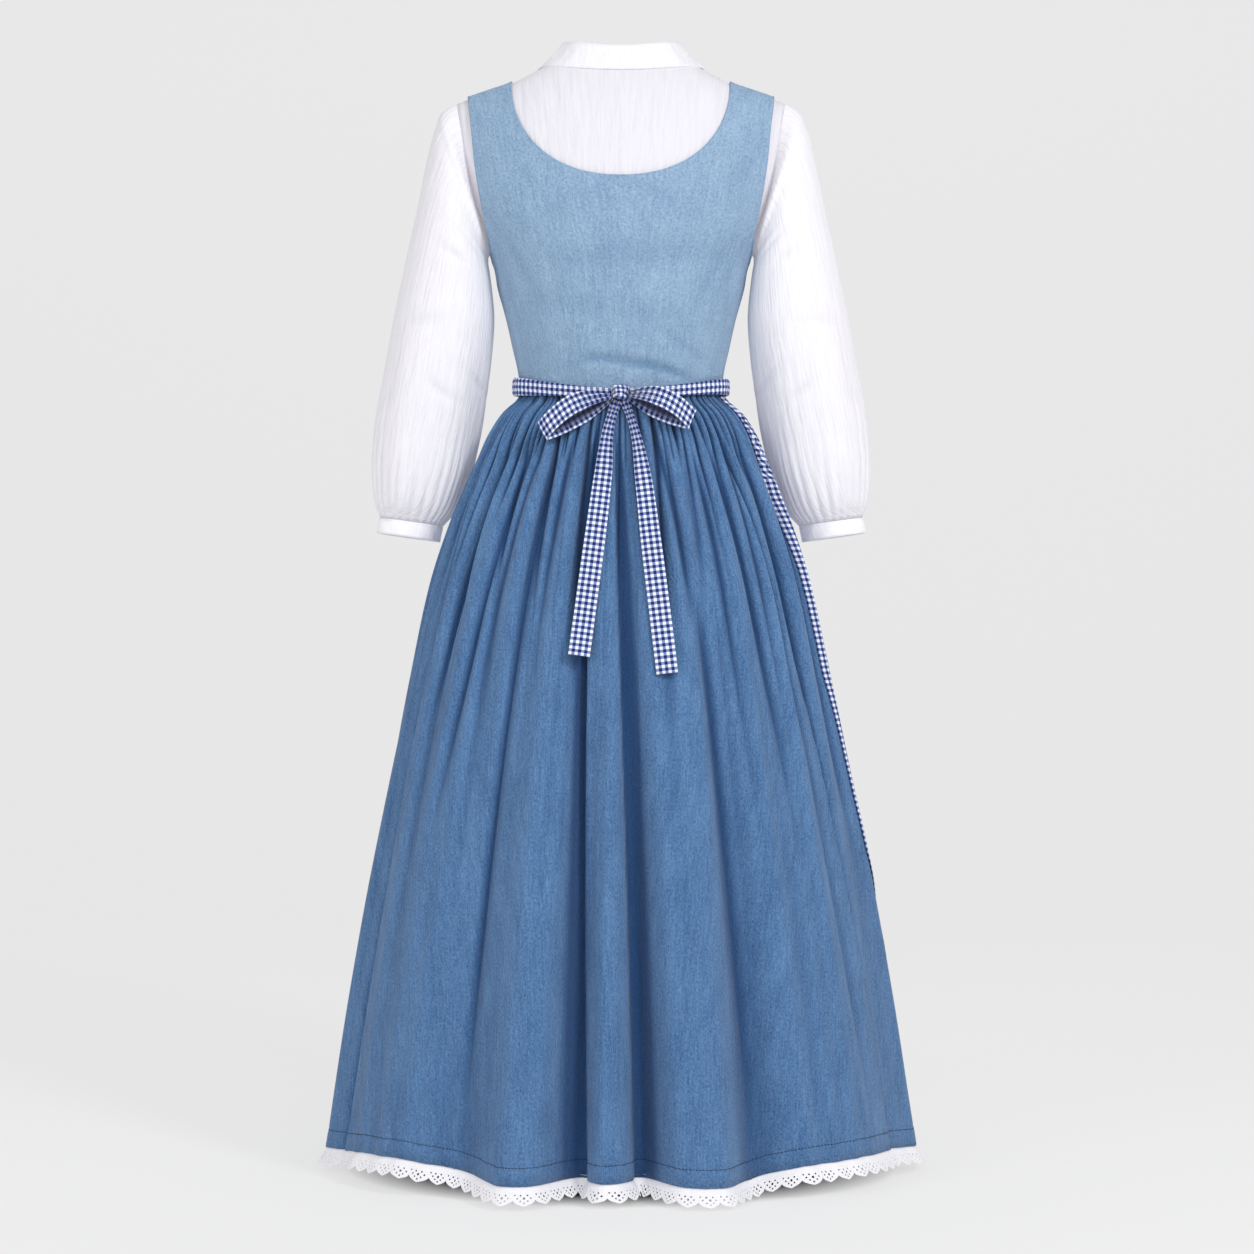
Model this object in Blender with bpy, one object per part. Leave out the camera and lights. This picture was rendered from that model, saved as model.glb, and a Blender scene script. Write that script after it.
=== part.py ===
"""A dirndl with its blouse and apron, filled out as it is worn.

Metres, +Z up. The wearer's back faces -Y and the wearer's right hand is at +X.
The origin is between the shoulder seams, on the plane of the side seams, where the shoulders carry it.
"""

import bmesh
import bpy
import numpy as np
from mathutils import Vector

# Cloth and seams
CLOTH = 0.0012
SEAM = 0.0003
HALF_SEAM = SEAM / 2

# Heights that drive the rest
ARMPIT_Z = -0.226
WAIST_Z = -0.387
WAIST_DIP = 0.013
HEM_Z = -1.363
BLOUSE_HEM_Z = -0.330
APRON_HEM_Z = -1.300

# The blouse lies inside the bodice: how far in, and how much higher its armpits are
BLOUSE_EASE = 0.0045
BLOUSE_RAISE = 0.014
SHOULDER_EASE = 0.8

# Upper sections are flattened towards the shoulder seam along this curve
SHOULDER_POWER = 2.4
SHOULDER_SPAN = 0.2

BACK, FRONT = -1, 1


def table(columns, *rows):
    """A short table with named columns, sorted by its first column."""
    made = np.array(list(rows), dtype=[(name, float) for name in columns.split()])
    return np.sort(made, order=made.dtype.names[0])


# Smooth sections of the body under the cloth, by height
BODY = table(
    "z half_width back front",
    (0.060, 0.252, 0.090, 0.080),
    (0.000, 0.243, 0.100, 0.092),
    (-0.050, 0.234, 0.108, 0.106),
    (-0.100, 0.222, 0.113, 0.120),
    (-0.150, 0.207, 0.114, 0.132),
    (-0.200, 0.184, 0.111, 0.138),
    (-0.226, 0.1675, 0.108, 0.138),
    (-0.260, 0.1600, 0.104, 0.134),
    (-0.300, 0.1490, 0.098, 0.122),
    (-0.340, 0.1400, 0.092, 0.110),
    (-0.364, 0.1345, 0.088, 0.104),
    (-0.387, 0.1315, 0.085, 0.099),
    (-0.430, 0.1315, 0.085, 0.099),
)

# Smooth sections of the skirt, by height at the side seams
SKIRT = table(
    "z half_width back front",
    (-0.387, 0.1315, 0.085, 0.099),
    (-0.400, 0.1340, 0.087, 0.101),
    (-0.418, 0.1530, 0.099, 0.112),
    (-0.442, 0.1690, 0.109, 0.124),
    (-0.480, 0.1850, 0.121, 0.137),
    (-0.530, 0.2065, 0.137, 0.154),
    (-0.611, 0.2350, 0.159, 0.178),
    (-0.767, 0.2720, 0.194, 0.214),
    (-0.975, 0.3140, 0.233, 0.253),
    (-1.183, 0.3510, 0.267, 0.288),
    (-1.363, 0.3780, 0.296, 0.316),
)

# The shoulder seam's height, from the neck outwards
SHOULDER = table(
    "x z",
    (0.000, 0.0500),
    (0.080, 0.0410),
    (0.109, 0.0290),
    (0.142, 0.0104),
    (0.170, 0.0008),
    (0.199, -0.0091),
    (0.215, -0.0160),
    (0.240, -0.0300),
)

# Where the armholes run, as distances from the centre plane
BODICE_ARMHOLE = table(
    "z x",
    (-0.226, 0.1675),
    (-0.192, 0.1725),
    (-0.152, 0.1804),
    (-0.105, 0.1878),
    (-0.058, 0.1928),
    (-0.0091, 0.1990),
)
BLOUSE_ARMHOLE = table(
    "z x",
    (-0.212, 0.1620),
    (-0.190, 0.1735),
    (-0.152, 0.1875),
    (-0.105, 0.1980),
    (-0.058, 0.2065),
    (-0.0187, 0.2130),
)

# Bodice neckline: a U from shoulder to shoulder
NECK_HALF_WIDTH = 0.1417
NECK_TOP_Z = 0.0104
BACK_NECK_DEPTH = 0.137
BACK_NECK_POWER = 2.2
FRONT_NECK_DEPTH = 0.205
FRONT_NECK_POWER = 2.5

# Blouse neck edge and the collar band on it
COLLAR_HALF_WIDTH = 0.1086
COLLAR_SIDE_Z = 0.0286
COLLAR_BACK_Z = 0.0166
COLLAR_FRONT_Z = -0.048
COLLAR_SIDE_LEAN = 0.031
COLLAR_BACK_LEAN = 0.006
COLLAR_FRONT_LEAN = 0.014
COLLAR_HEIGHT = 0.033
COLLAR_END = 179.6
NECK_STEPS = 6

# The bodice's right front runs past the centre by this much, over where the left one would reach
BUTTON_LAP = 0.009

# Rows and columns of half a bodice panel: below the armpit, and from there to the shoulder
BODICE_LOWER_ROWS = 4
BODICE_UPPER_ROWS = 9
BODICE_COLUMNS = 7

# Gathers: the number across half the waist, and their depth and that of the middle folds down the skirt
BACK_GATHERS = 38
FRONT_GATHERS = 18
GATHER_DEPTH = table(
    "down gather middle",
    (0.00, 0.0012, 0.0000),
    (0.014, 0.0016, 0.0000),
    (0.03, 0.0032, 0.0006),
    (0.06, 0.0038, 0.0022),
    (0.12, 0.0030, 0.0046),
    (0.20, 0.0017, 0.0062),
    (0.34, 0.0006, 0.0056),
    (0.55, 0.0001, 0.0036),
    (1.00, 0.0000, 0.0022),
)
ALL_GATHERS = BACK_GATHERS + FRONT_GATHERS
MIDDLE_FOLDS = 19

# The large folds: angle from the centre back at waist and hem, half width and rise at the hem, and the share of
# the length where each begins
FOLDS = table(
    "waist hem half_width rise begins",
    (-84, -81, 6, 0.006, 0.10),
    (-73, -67, 6, -0.008, 0.08),
    (-50, -48, 15, 0.008, 0.30),
    (-33, -33, 6, -0.016, 0.20),
    (-19, -19, 8, 0.036, 0.15),
    (-8, -9, 4, -0.028, 0.10),
    (-2, -2.5, 4, 0.012, 0.05),
    (3, 5.5, 4, -0.036, 0.00),
    (12, 15, 8, 0.030, 0.20),
    (26, 28, 7, -0.024, 0.10),
    (44, 47, 14, 0.010, 0.30),
    (72, 68, 6, -0.006, 0.08),
    (80, 81, 6, 0.006, 0.30),
    (94, 96, 8, -0.020, 0.20),
    (110, 112, 11, 0.020, 0.12),
    (122, 123, 7, -0.024, 0.15),
    (141, 142, 10, 0.024, 0.20),
    (160, 159, 8, -0.026, 0.10),
    (180, 180, 12, 0.020, 0.20),
    (201, 202, 8, -0.026, 0.10),
    (219, 218, 10, 0.024, 0.20),
    (238, 237, 7, -0.024, 0.15),
    (250, 248, 11, 0.020, 0.12),
    (266, 264, 8, -0.020, 0.20),
)

# Rows of the skirt, as shares of its length
SKIRT_ROWS = (0.0, 0.014, 0.04, 0.085, 0.16, 0.27, 0.42, 0.61, 0.81, 1.0)

# The apron's edges as angles round from the side seams towards the back, by share of the skirt's length, and
# its clearance over the skirt
APRON_EDGES = table(
    "down right left gap",
    (0.000, 11.84, -5.00, 0.0027),
    (0.014, 18.95, -10.0, 0.0033),
    (0.040, 18.95, -10.0, 0.0034),
    (0.085, 18.95, -10.0, 0.0030),
    (0.270, 18.95, -10.0, 0.0018),
    (0.345, 18.95, -10.0, 0.0052),
    (0.420, 15.00, -10.0, 0.0056),
    (0.515, 11.00, -10.0, 0.0044),
    (0.610, 8.000, -11.0, 0.0030),
    (0.810, 2.000, -12.0, 0.0024),
    (1.000, 1.000, -12.0, 0.0020),
)
APRON_BACK_GATHERS = 4
APRON_MORE_ROWS = (0.345, 0.515, 0.71)

# The lace under the hem
LACE_POINTS = 104
LACE_BEHIND = 0.007
LACE_VALLEY = 0.011
LACE_TIP = 0.020
LACE_THICKNESS = 0.001
LACE_GAP = 0.0008

# The ties and their bow
TIE_WIDTH = 0.026
TIE_FOLDED = 0.0195
TIE_CLOTH = 0.0014
TIE_CLEAR = 0.0042
BAND_CLEAR = 0.0085
WAISTBAND_END = 81.4
TIE_ENDS = (1.0, 81.0)
TIE_NARROWED = 0.4
KNOT = Vector((-0.001, -0.0995, -0.4000))
KNOT_SIZE = Vector((0.024, 0.017, 0.019))
LOOP_OPENING = 0.011
LOOP_START = 0.0114
LEFT_LOOP_REACH, LEFT_LOOP_DROP = 0.088, 0.046
RIGHT_LOOP_REACH, RIGHT_LOOP_DROP = 0.080, 0.032

# The hanging ends of the ties, by share of the way down
LEFT_TAIL_CLEAR = 0.0022
RIGHT_TAIL_CLEAR = 0.0015
LEFT_TAIL = table(
    "down x z width",
    (0.00, -0.0050, -0.4090, 0.0095),
    (0.12, -0.0155, -0.4480, 0.0135),
    (0.30, -0.0220, -0.5050, 0.0220),
    (0.50, -0.0300, -0.5700, 0.0255),
    (0.75, -0.0410, -0.6540, 0.0265),
    (1.00, -0.0515, -0.7330, 0.0270),
)
RIGHT_TAIL = table(
    "down x z width",
    (0.00, 0.0048, -0.4090, 0.0080),
    (0.12, 0.0175, -0.4500, 0.0110),
    (0.30, 0.0280, -0.5100, 0.0205),
    (0.50, 0.0370, -0.5850, 0.0250),
    (0.75, 0.0480, -0.6750, 0.0265),
    (1.00, 0.0575, -0.7550, 0.0270),
)

# Sleeve rings by distance along it: outer and inner edge seen from behind, middle depth and half depth
SLEEVE = table(
    "along outer_x outer_z inner_x inner_z middle_y half_depth",
    (0.02, 0.2290, -0.0270, 0.1700, -0.2150, 0.000, 0.052),
    (0.07, 0.2400, -0.0480, 0.1725, -0.2220, 0.000, 0.057),
    (0.15, 0.2510, -0.0870, 0.1705, -0.2380, 0.001, 0.062),
    (0.26, 0.2625, -0.1430, 0.1675, -0.2620, 0.003, 0.065),
    (0.40, 0.2780, -0.2120, 0.1650, -0.2980, 0.008, 0.067),
    (0.55, 0.2950, -0.2900, 0.1690, -0.3440, 0.016, 0.068),
    (0.70, 0.3100, -0.3700, 0.1775, -0.4020, 0.026, 0.067),
    (0.83, 0.3230, -0.4400, 0.1885, -0.4600, 0.036, 0.064),
    (0.92, 0.3260, -0.5000, 0.2040, -0.5150, 0.043, 0.059),
    (0.97, 0.3225, -0.5350, 0.2200, -0.5480, 0.047, 0.049),
    (1.00, 0.3170, -0.5540, 0.2355, -0.5660, 0.049, 0.037),
)
SLEEVE_GATHERS = 14
ARMHOLE_GAP = 0.0010
SLEEVE_GATHER_DEPTH = table(
    "along depth", (0.0, 0.0), (0.70, 0.0), (0.83, 0.0012), (0.92, 0.0026), (0.97, 0.0028), (1.0, 0.0011)
)
CUFF_HEIGHT = 0.0205
CUFF_DIRECTION = Vector((0.20, 0.06, -1.0)).normalized()

# Buttons down the front
BODICE_BUTTONS = 6
BODICE_BUTTON_TOP_Z = -0.212
BODICE_BUTTON_STEP = 0.029
BODICE_BUTTON_RADIUS = 0.0065
BODICE_BUTTON_THICKNESS = 0.0028
BLOUSE_BUTTON_HEIGHTS = (-0.085, -0.135, -0.180)
BLOUSE_BUTTON_RADIUS = 0.0045
BLOUSE_BUTTON_THICKNESS = 0.0020

# Colour and roughness of each material
MATERIALS = {
    "skirt_chambray": ((0.080, 0.185, 0.390), 0.85),
    "bodice_chambray": ((0.270, 0.420, 0.620), 0.85),
    "blouse_cotton": ((0.880, 0.870, 0.920), 0.80),
    "gingham": ((0.230, 0.240, 0.520), 0.80),
    "eyelet_lace": ((0.870, 0.860, 0.900), 0.80),
    "button": ((0.780, 0.760, 0.720), 0.35),
}


def through(rows, column, at):
    """The column's value at each place, on a smooth curve through the table's rows."""
    places = rows[rows.dtype.names[0]]
    values = rows[column]
    at = np.clip(np.asarray(at, float), places[0], places[-1])
    slopes = np.gradient(values, places)
    i = np.clip(np.searchsorted(places, at, side="right") - 1, 0, len(places) - 2)
    step = places[i + 1] - places[i]
    t = (at - places[i]) / step
    return (
        (2 * t**3 - 3 * t**2 + 1) * values[i]
        + (t**3 - 2 * t**2 + t) * step * slopes[i]
        + (3 * t**2 - 2 * t**3) * values[i + 1]
        + (t**3 - t**2) * step * slopes[i + 1]
    )


def ease_in(t):
    """0 to 1, smooth at both ends."""
    t = np.clip(t, 0.0, 1.0)
    return t * t * (3 - 2 * t)


# The body form


def shoulder_z(x, ease):
    """Height of the shoulder seam at a distance from the centre, for cloth that lies this far in."""
    return through(SHOULDER, "z", np.abs(x)) - SHOULDER_EASE * ease


def torso(turn, rise, side, ease=0.0, lift=0.0):
    """Points on the upper form. turn is 0 at the centre and 90 at the side. rise is the height over the armpit,
    and above it a share of the way to the shoulder seam. ease moves the cloth in, and lift raises the armpit."""
    turn, rise = np.broadcast_arrays(np.radians(turn), np.asarray(rise, float))
    armpit = ARMPIT_Z + lift
    up = np.clip(rise / SHOULDER_SPAN, 0.0, 1.0)
    half_width = through(BODY, "half_width", armpit + rise - lift * (1 - up))
    for _ in range(3):
        x = (half_width - ease) * np.sin(turn)
        top = shoulder_z(x, ease)
        z = np.where(rise > 0, armpit + (top - armpit) * up, armpit + rise)
        half_width = through(BODY, "half_width", z - lift * (1 - up))
    depth = through(BODY, "back" if side == BACK else "front", z - lift * (1 - up)) - ease
    flat = (1 - up**SHOULDER_POWER) ** (1 / SHOULDER_POWER)
    return np.stack([x, side * depth * np.cos(turn) * flat, z], axis=-1)


def on_torso(x, z, ease=0.0, lift=0.0):
    """(turn, rise) of the point of the form that is seen at x, z from straight behind or in front."""
    x, z = np.broadcast_arrays(np.asarray(x, float), np.asarray(z, float))
    armpit = ARMPIT_Z + lift
    top = shoulder_z(x, ease)
    rise = np.where(z > armpit, SHOULDER_SPAN * (z - armpit) / (top - armpit), z - armpit)
    up = np.clip(rise / SHOULDER_SPAN, 0.0, 1.0)
    half_width = through(BODY, "half_width", z - lift * (1 - up)) - ease
    return np.degrees(np.arcsin(np.clip(np.abs(x) / half_width, 0.0, 1.0))), rise


def coons(bottom, top, centre, side, across, up):
    """A patch in (turn, rise) between four edges, each a grid of points along it."""
    u, v = across[None, :, None], up[:, None, None]
    return (
        (1 - v) * bottom[None]
        + v * top[None]
        + (1 - u) * centre[:, None]
        + u * side[:, None]
        - (1 - u) * (1 - v) * bottom[0]
        - u * (1 - v) * bottom[-1]
        - (1 - u) * v * top[0]
        - u * v * top[-1]
    )


def half_panel(bottom_z, neck, armhole, columns, lower_rows, upper_rows, ease, lift):
    """Half of a front or back, from its centre edge to its side, as a grid of (turn, rise). neck gives x and z
    from the centre to the neck point, and the rest of the top edge is the shoulder seam."""
    across = np.linspace(0, 1, columns + 1)
    up = np.concatenate(
        [
            np.linspace(0, 0.5, lower_rows, endpoint=False),
            0.5 + 0.5 * np.sin(np.linspace(0, np.pi / 2, upper_rows + 1)),
        ]
    )
    armpit = ARMPIT_Z + lift
    turns = 90 * across
    bottom = np.stack([turns, bottom_z(turns) - armpit], axis=-1)
    tip_x = armhole["x"][-1]
    shoulder_x = np.linspace(neck[-1][0], tip_x, columns + 2 - len(neck))[1:]
    seam_z = shoulder_z(shoulder_x, ease)
    top_x = np.concatenate([[x for x, z in neck], shoulder_x])
    top_z = np.concatenate([[z for x, z in neck], seam_z])
    top = np.stack(on_torso(top_x, top_z, ease, lift), axis=-1)
    top[len(neck) - 1 :, 1] = SHOULDER_SPAN
    side_z = np.where(
        up < 0.5,
        bottom_z(90.0) + (armpit - bottom_z(90.0)) * 2 * up,
        armpit + (top_z[-1] - armpit) * (2 * up - 1),
    )
    side_x = through(armhole, "x", side_z)
    side = np.stack(on_torso(side_x, side_z, ease, lift), axis=-1)
    side[up <= 0.5, 0] = 90.0
    side[-1] = top[-1]
    centre_rise = bottom[0, 1] + (top[0, 1] - bottom[0, 1]) * up
    centre = np.stack([np.zeros_like(up), centre_rise], axis=-1)
    return coons(bottom, top, centre, side, across, up)


def whole(half):
    """A half panel's grid with its mirror image, from the wearer's left side to the right one."""
    mirrored = half[:, :0:-1].copy()
    mirrored[..., 0] *= -1
    return np.concatenate([mirrored, half], axis=1)


def panel_points(grid, side, ease, lift=0.0):
    """The panel's points, held off the plane of the seams by half a seam's gap."""
    points = torso(grid[..., 0], grid[..., 1], side, ease, lift)
    off = np.maximum(np.abs(points[..., 1]), HALF_SEAM)
    points[..., 1] = side * off
    return points


# Building meshes


def material(name):
    made = bpy.data.materials.get(name)
    if made is None:
        colour, roughness = MATERIALS[name]
        made = bpy.data.materials.new(name)
        made.use_nodes = True
        shader = made.node_tree.nodes["Principled BSDF"]
        shader.inputs["Base Color"].default_value = (*colour, 1.0)
        shader.inputs["Roughness"].default_value = roughness
        shader.inputs["Metallic"].default_value = 0.0
    return made


def add_object(name, bm, material_name):
    """Makes the bmesh a named, smooth-shaded object in the garment's collection."""
    bmesh.ops.recalc_face_normals(bm, faces=bm.faces[:])
    mesh = bpy.data.meshes.new(name)
    bm.to_mesh(mesh)
    bm.free()
    mesh.shade_smooth()
    mesh.set_sharp_from_angle(angle=np.radians(50))
    mesh.materials.append(material(material_name))
    made = bpy.data.objects.new(name, mesh)
    bpy.data.collections["dirndl"].objects.link(made)
    return made


def grid_quads(rows, columns, ring):
    """Corners of each quad of a grid of points, as (row, column). A ring's last column joins its first."""
    across = columns if ring else columns - 1
    for r in range(rows - 1):
        for c in range(across):
            n = (c + 1) % columns
            yield (r, c), (r, n), (r + 1, n), (r + 1, c)


def wall(name, skins, material_name, ring=False):
    """A cloth wall closed round its edges. skins holds pairs of grids of points, outer and inner, and where
    two pairs share a point on the outer skin they are one cloth."""
    bm = bmesh.new()
    made = {}
    faces = []
    for outer, inner in skins:
        corner = {}
        for place in np.ndindex(outer.shape[:2]):
            key = tuple(np.round(outer[place], 6))
            if key not in made:
                made[key] = bm.verts.new(outer[place]), bm.verts.new(inner[place])
            corner[place] = made[key]
        flip = outer[0, 1, 0] < outer[0, 0, 0] and not ring
        for quad in grid_quads(*outer.shape[:2], ring):
            corners = [corner[place] for place in quad]
            faces.append(corners[:1] + corners[:0:-1] if flip else corners)
    open_edges = {}
    for corners in faces:
        bm.faces.new([out for out, within in corners])
        bm.faces.new([within for out, within in corners[:1] + corners[:0:-1]])
        for first, second in zip(corners, corners[1:] + corners[:1]):
            if (second, first) in open_edges:
                del open_edges[second, first]
            else:
                open_edges[first, second] = True
    for first, second in open_edges:
        bm.faces.new([second[0], first[0], first[1], second[1]])
    return add_object(name, bm, material_name)


# The bodice


def waist_z(angle):
    """Height of the waist seam at an angle from the centre back, which dips behind."""
    return WAIST_Z - WAIST_DIP * np.maximum(np.cos(np.radians(angle)), 0.0) ** 2


def neckline(depth, power):
    """x and z along half of a bodice neckline, from its lowest point to the shoulder seam."""
    t = np.linspace(0, np.pi / 2, 61)
    return NECK_HALF_WIDTH * np.sin(t) ** (2 / power), NECK_TOP_Z - depth * np.cos(t) ** (2 / power)


def along_edge(x, z, shares):
    """(turn, rise) at shares of the length of an edge that ends at the shoulder seam."""
    turn, rise = on_torso(x, z)
    rise[-1] = SHOULDER_SPAN
    steps = np.linalg.norm(np.diff(torso(turn, rise, BACK), axis=0), axis=1)
    lengths = np.concatenate([[0.0], np.cumsum(steps)])
    return np.stack([np.interp(shares * lengths[-1], lengths, values) for values in (turn, rise)], axis=-1)


def strap_panel(bottom_z, neck):
    """Half of a bodice's back or front as a grid of (turn, rise): its first column runs up the centre and on
    along the neckline, its last up the side and the armhole, and its top row is the shoulder seam."""
    lower = np.linspace(0, 1, BODICE_LOWER_ROWS, endpoint=False)
    upper = 1 - np.linspace(1, 0, BODICE_UPPER_ROWS + 1) ** 1.5
    up = np.concatenate([lower / 2, 0.5 + upper / 2])
    across = np.linspace(0, 1, BODICE_COLUMNS + 1)
    turns = 90 * across
    bottom = np.stack([turns, bottom_z(turns) - ARMPIT_Z], axis=-1)
    neck_edge = along_edge(*neck, upper)
    armhole_z = np.linspace(ARMPIT_Z, BODICE_ARMHOLE["z"][-1], 61)
    armhole = along_edge(through(BODICE_ARMHOLE, "x", armhole_z), armhole_z, upper)
    armhole[0] = 90.0, 0.0
    centre_rise = bottom[0, 1] + (neck_edge[0, 1] - bottom[0, 1]) * lower
    side_rise = bottom[-1, 1] * (1 - lower)
    centre = np.concatenate([np.stack([0 * lower, centre_rise], axis=-1), neck_edge])
    side = np.concatenate([np.stack([90 + 0 * lower, side_rise], axis=-1), armhole])
    strap = BODICE_ARMHOLE["x"][-1] - NECK_HALF_WIDTH
    top_turn, top_rise = on_torso(NECK_HALF_WIDTH + strap * across, 0.0)
    top = np.stack([top_turn, np.full_like(top_rise, SHOULDER_SPAN)], axis=-1)
    top[0], top[-1] = centre[-1], side[-1]
    return coons(bottom, top, centre, side, across, up)


def bodice():
    """The bodice's back, in one piece, and its two fronts, which meet beside the row of buttons."""
    half = strap_panel(lambda turn: waist_z(turn) + SEAM, neckline(BACK_NECK_DEPTH, BACK_NECK_POWER))
    right = [panel_points(half, BACK, ease) for ease in (0.0, CLOTH)]
    left = [grid * np.array([-1, 1, 1]) for grid in right]
    wall("bodice_back", [right, left], "bodice_chambray")

    for side, hand, edge in (("right", 1, -BUTTON_LAP), ("left", -1, BUTTON_LAP + SEAM)):
        skins = [bodice_front(ease, hand, edge) for ease in (0.0, CLOTH)]
        wall(f"bodice_front_{side}", [skins], "bodice_chambray")


def bodice_front(ease, hand, edge):
    """Points of one front of the bodice, whose centre edge is moved across by a distance."""
    half = strap_panel(lambda turn: waist_z(180 - turn) + SEAM, neckline(FRONT_NECK_DEPTH, FRONT_NECK_POWER))
    grid = panel_points(half, FRONT, ease)
    grid[: BODICE_LOWER_ROWS + 1, :3, 0] += edge * np.array([1.0, 0.45, 0.1])
    grid[..., 0] *= hand
    return grid


# The blouse


def neck_edge(angle):
    """x and z of the blouse's neck edge at an angle from the centre back."""
    s, c = np.sin(np.radians(angle)), np.cos(np.radians(angle))
    x = COLLAR_HALF_WIDTH * np.abs(s) ** np.where(c > 0, 1.0, 0.85)
    middle = np.where(c > 0, COLLAR_BACK_Z, COLLAR_FRONT_Z)
    fall = np.where(c > 0, np.abs(c) ** 2, np.abs(c))
    return x * np.sign(s), COLLAR_SIDE_Z + (middle - COLLAR_SIDE_Z) * fall


def blouse_body():
    """The blouse's back and its two fronts, cropped above the waist, inside the bodice."""
    edges = (BLOUSE_ARMHOLE, 9, 2, 7, BLOUSE_EASE, BLOUSE_RAISE)

    def hem(turn):
        return BLOUSE_HEM_Z + 0 * np.asarray(turn)

    for side, names in ((BACK, ["blouse_back"]), (FRONT, ["blouse_front_right", "blouse_front_left"])):
        start = 0 if side == BACK else 180
        angles = np.linspace(start, 90, NECK_STEPS + 1)
        neck = [tuple(float(value) for value in neck_edge(angle)) for angle in angles]
        half = half_panel(hem, neck, *edges)
        for name in names:
            grid = whole(half) if side == BACK else half
            outer = panel_points(grid, side, BLOUSE_EASE, BLOUSE_RAISE)
            inner = panel_points(grid, side, BLOUSE_EASE + CLOTH, BLOUSE_RAISE)
            if side == FRONT:
                for skin in (outer, inner):
                    skin[:, 0, 0] = HALF_SEAM
                    if name.endswith("left"):
                        skin[..., 0] *= -1
            wall(name, [(outer, inner)], "blouse_cotton")


def collar():
    """The band collar: a ring open at the centre front, which leans in from the blouse's neck edge."""
    angles = np.linspace(-180, 180, 4 * NECK_STEPS + 1)
    angles[[0, -1]] = -COLLAR_END, COLLAR_END
    x, z = neck_edge(angles)
    turn, rise = on_torso(x, z, BLOUSE_EASE, BLOUSE_RAISE)
    skins = []
    for ease in (BLOUSE_EASE, BLOUSE_EASE + CLOTH):
        base = np.where(
            (np.cos(np.radians(angles)) > 0)[:, None],
            torso(turn, rise, BACK, ease, BLOUSE_RAISE),
            torso(turn, rise, FRONT, ease, BLOUSE_RAISE),
        )
        base[:, 0] *= np.sign(x)
        base[:, 2] = z + 2 * SEAM
        across, behind = np.sin(np.radians(angles)), np.cos(np.radians(angles))
        lean_y = np.where(behind > 0, COLLAR_BACK_LEAN, COLLAR_FRONT_LEAN)
        lean = np.stack([-COLLAR_SIDE_LEAN * across, lean_y * behind], axis=-1)
        rows = []
        for share in (0.0, 0.5, 1.0):
            ring = base.copy()
            ring[:, :2] += lean * (share + 0.25 * share * (1 - share))
            ring[:, 2] += COLLAR_HEIGHT * share
            rows.append(ring)
        skins.append(np.array(rows))
    wall("collar", [skins], "blouse_cotton")


def sleeve_ring(row, angles, inset, depth):
    """A ring of the sleeve from its table row: angle 0 is the outer edge and 180 the one by the body."""
    outer = np.array([row["outer_x"], 0.0, row["outer_z"]])
    inner = np.array([row["inner_x"], 0.0, row["inner_z"]])
    middle, reach = (outer + inner) / 2, (outer - inner) / 2
    length = np.linalg.norm(reach)
    wave = depth * np.cos(np.radians(angles) * SLEEVE_GATHERS)
    share = (length - inset + wave) / length
    points = middle + (np.cos(np.radians(angles)) * share)[:, None] * reach
    points[:, 1] = row["middle_y"] + np.sin(np.radians(angles)) * (row["half_depth"] - inset + wave)
    return points


def armhole_ring(angles, inset):
    """The ring where the sleeve meets the blouse: over the shoulder at angle 0, under the arm at 180."""
    low, tip_x = BLOUSE_ARMHOLE["z"][0], BLOUSE_ARMHOLE["x"][-1]
    high = shoulder_z(tip_x, BLOUSE_EASE)
    z = low + (high - low) * (1 + np.cos(np.radians(angles))) / 2
    x = np.where(angles == 0, tip_x, through(BLOUSE_ARMHOLE, "x", z))
    turn, rise = on_torso(x, z, BLOUSE_EASE, BLOUSE_RAISE)
    turn = np.where(np.abs(angles - 180) < 1, 90.0, turn)
    rise = np.where(angles == 0, SHOULDER_SPAN, rise)
    ease = BLOUSE_EASE + inset
    back, front = (torso(turn, rise, side, ease, BLOUSE_RAISE) for side in (BACK, FRONT))
    points = np.where((angles > 180)[:, None], back, front)
    points[:, 0] += ARMHOLE_GAP
    return points


def sleeves():
    """Each sleeve is a tube from the armhole to its gathered end, and each cuff a band below it."""
    columns = 2 * SLEEVE_GATHERS
    angles = np.arange(columns) * 360 / columns
    depths = through(SLEEVE_GATHER_DEPTH, "depth", SLEEVE["along"])
    skins = []
    for inset in (0.0, CLOTH):
        rings = [armhole_ring(angles, inset)]
        for row, depth in zip(SLEEVE, depths):
            rings.append(sleeve_ring(row, angles, inset, np.full(columns, depth)))
        skins.append(np.array(rings))
    cuff = []
    for inset in (-0.0006, 0.0012):
        top = sleeve_ring(SLEEVE[-1], angles, inset, np.zeros(columns))
        top += np.array(CUFF_DIRECTION) * SEAM * 2
        cuff.append(np.array([top, top + np.array(CUFF_DIRECTION) * CUFF_HEIGHT]))
    for hand, side in ((1, "right"), (-1, "left")):
        mirror = np.array([hand, 1, 1])
        wall(f"sleeve_{side}", [[skin * mirror for skin in skins]], "blouse_cotton", ring=True)
        wall(f"cuff_{side}", [[skin * mirror for skin in cuff]], "blouse_cotton", ring=True)


# The skirt


def gathers_at(angle):
    """How many gathers lie between the wearer's left side seam and this angle from the centre back."""
    angle = (angle + 90) % 360 - 90
    back = np.clip(angle + 90, 0, 180) / 180 * BACK_GATHERS
    front = np.clip(angle - 90, 0, 180) / 180 * FRONT_GATHERS
    return back + front


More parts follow.
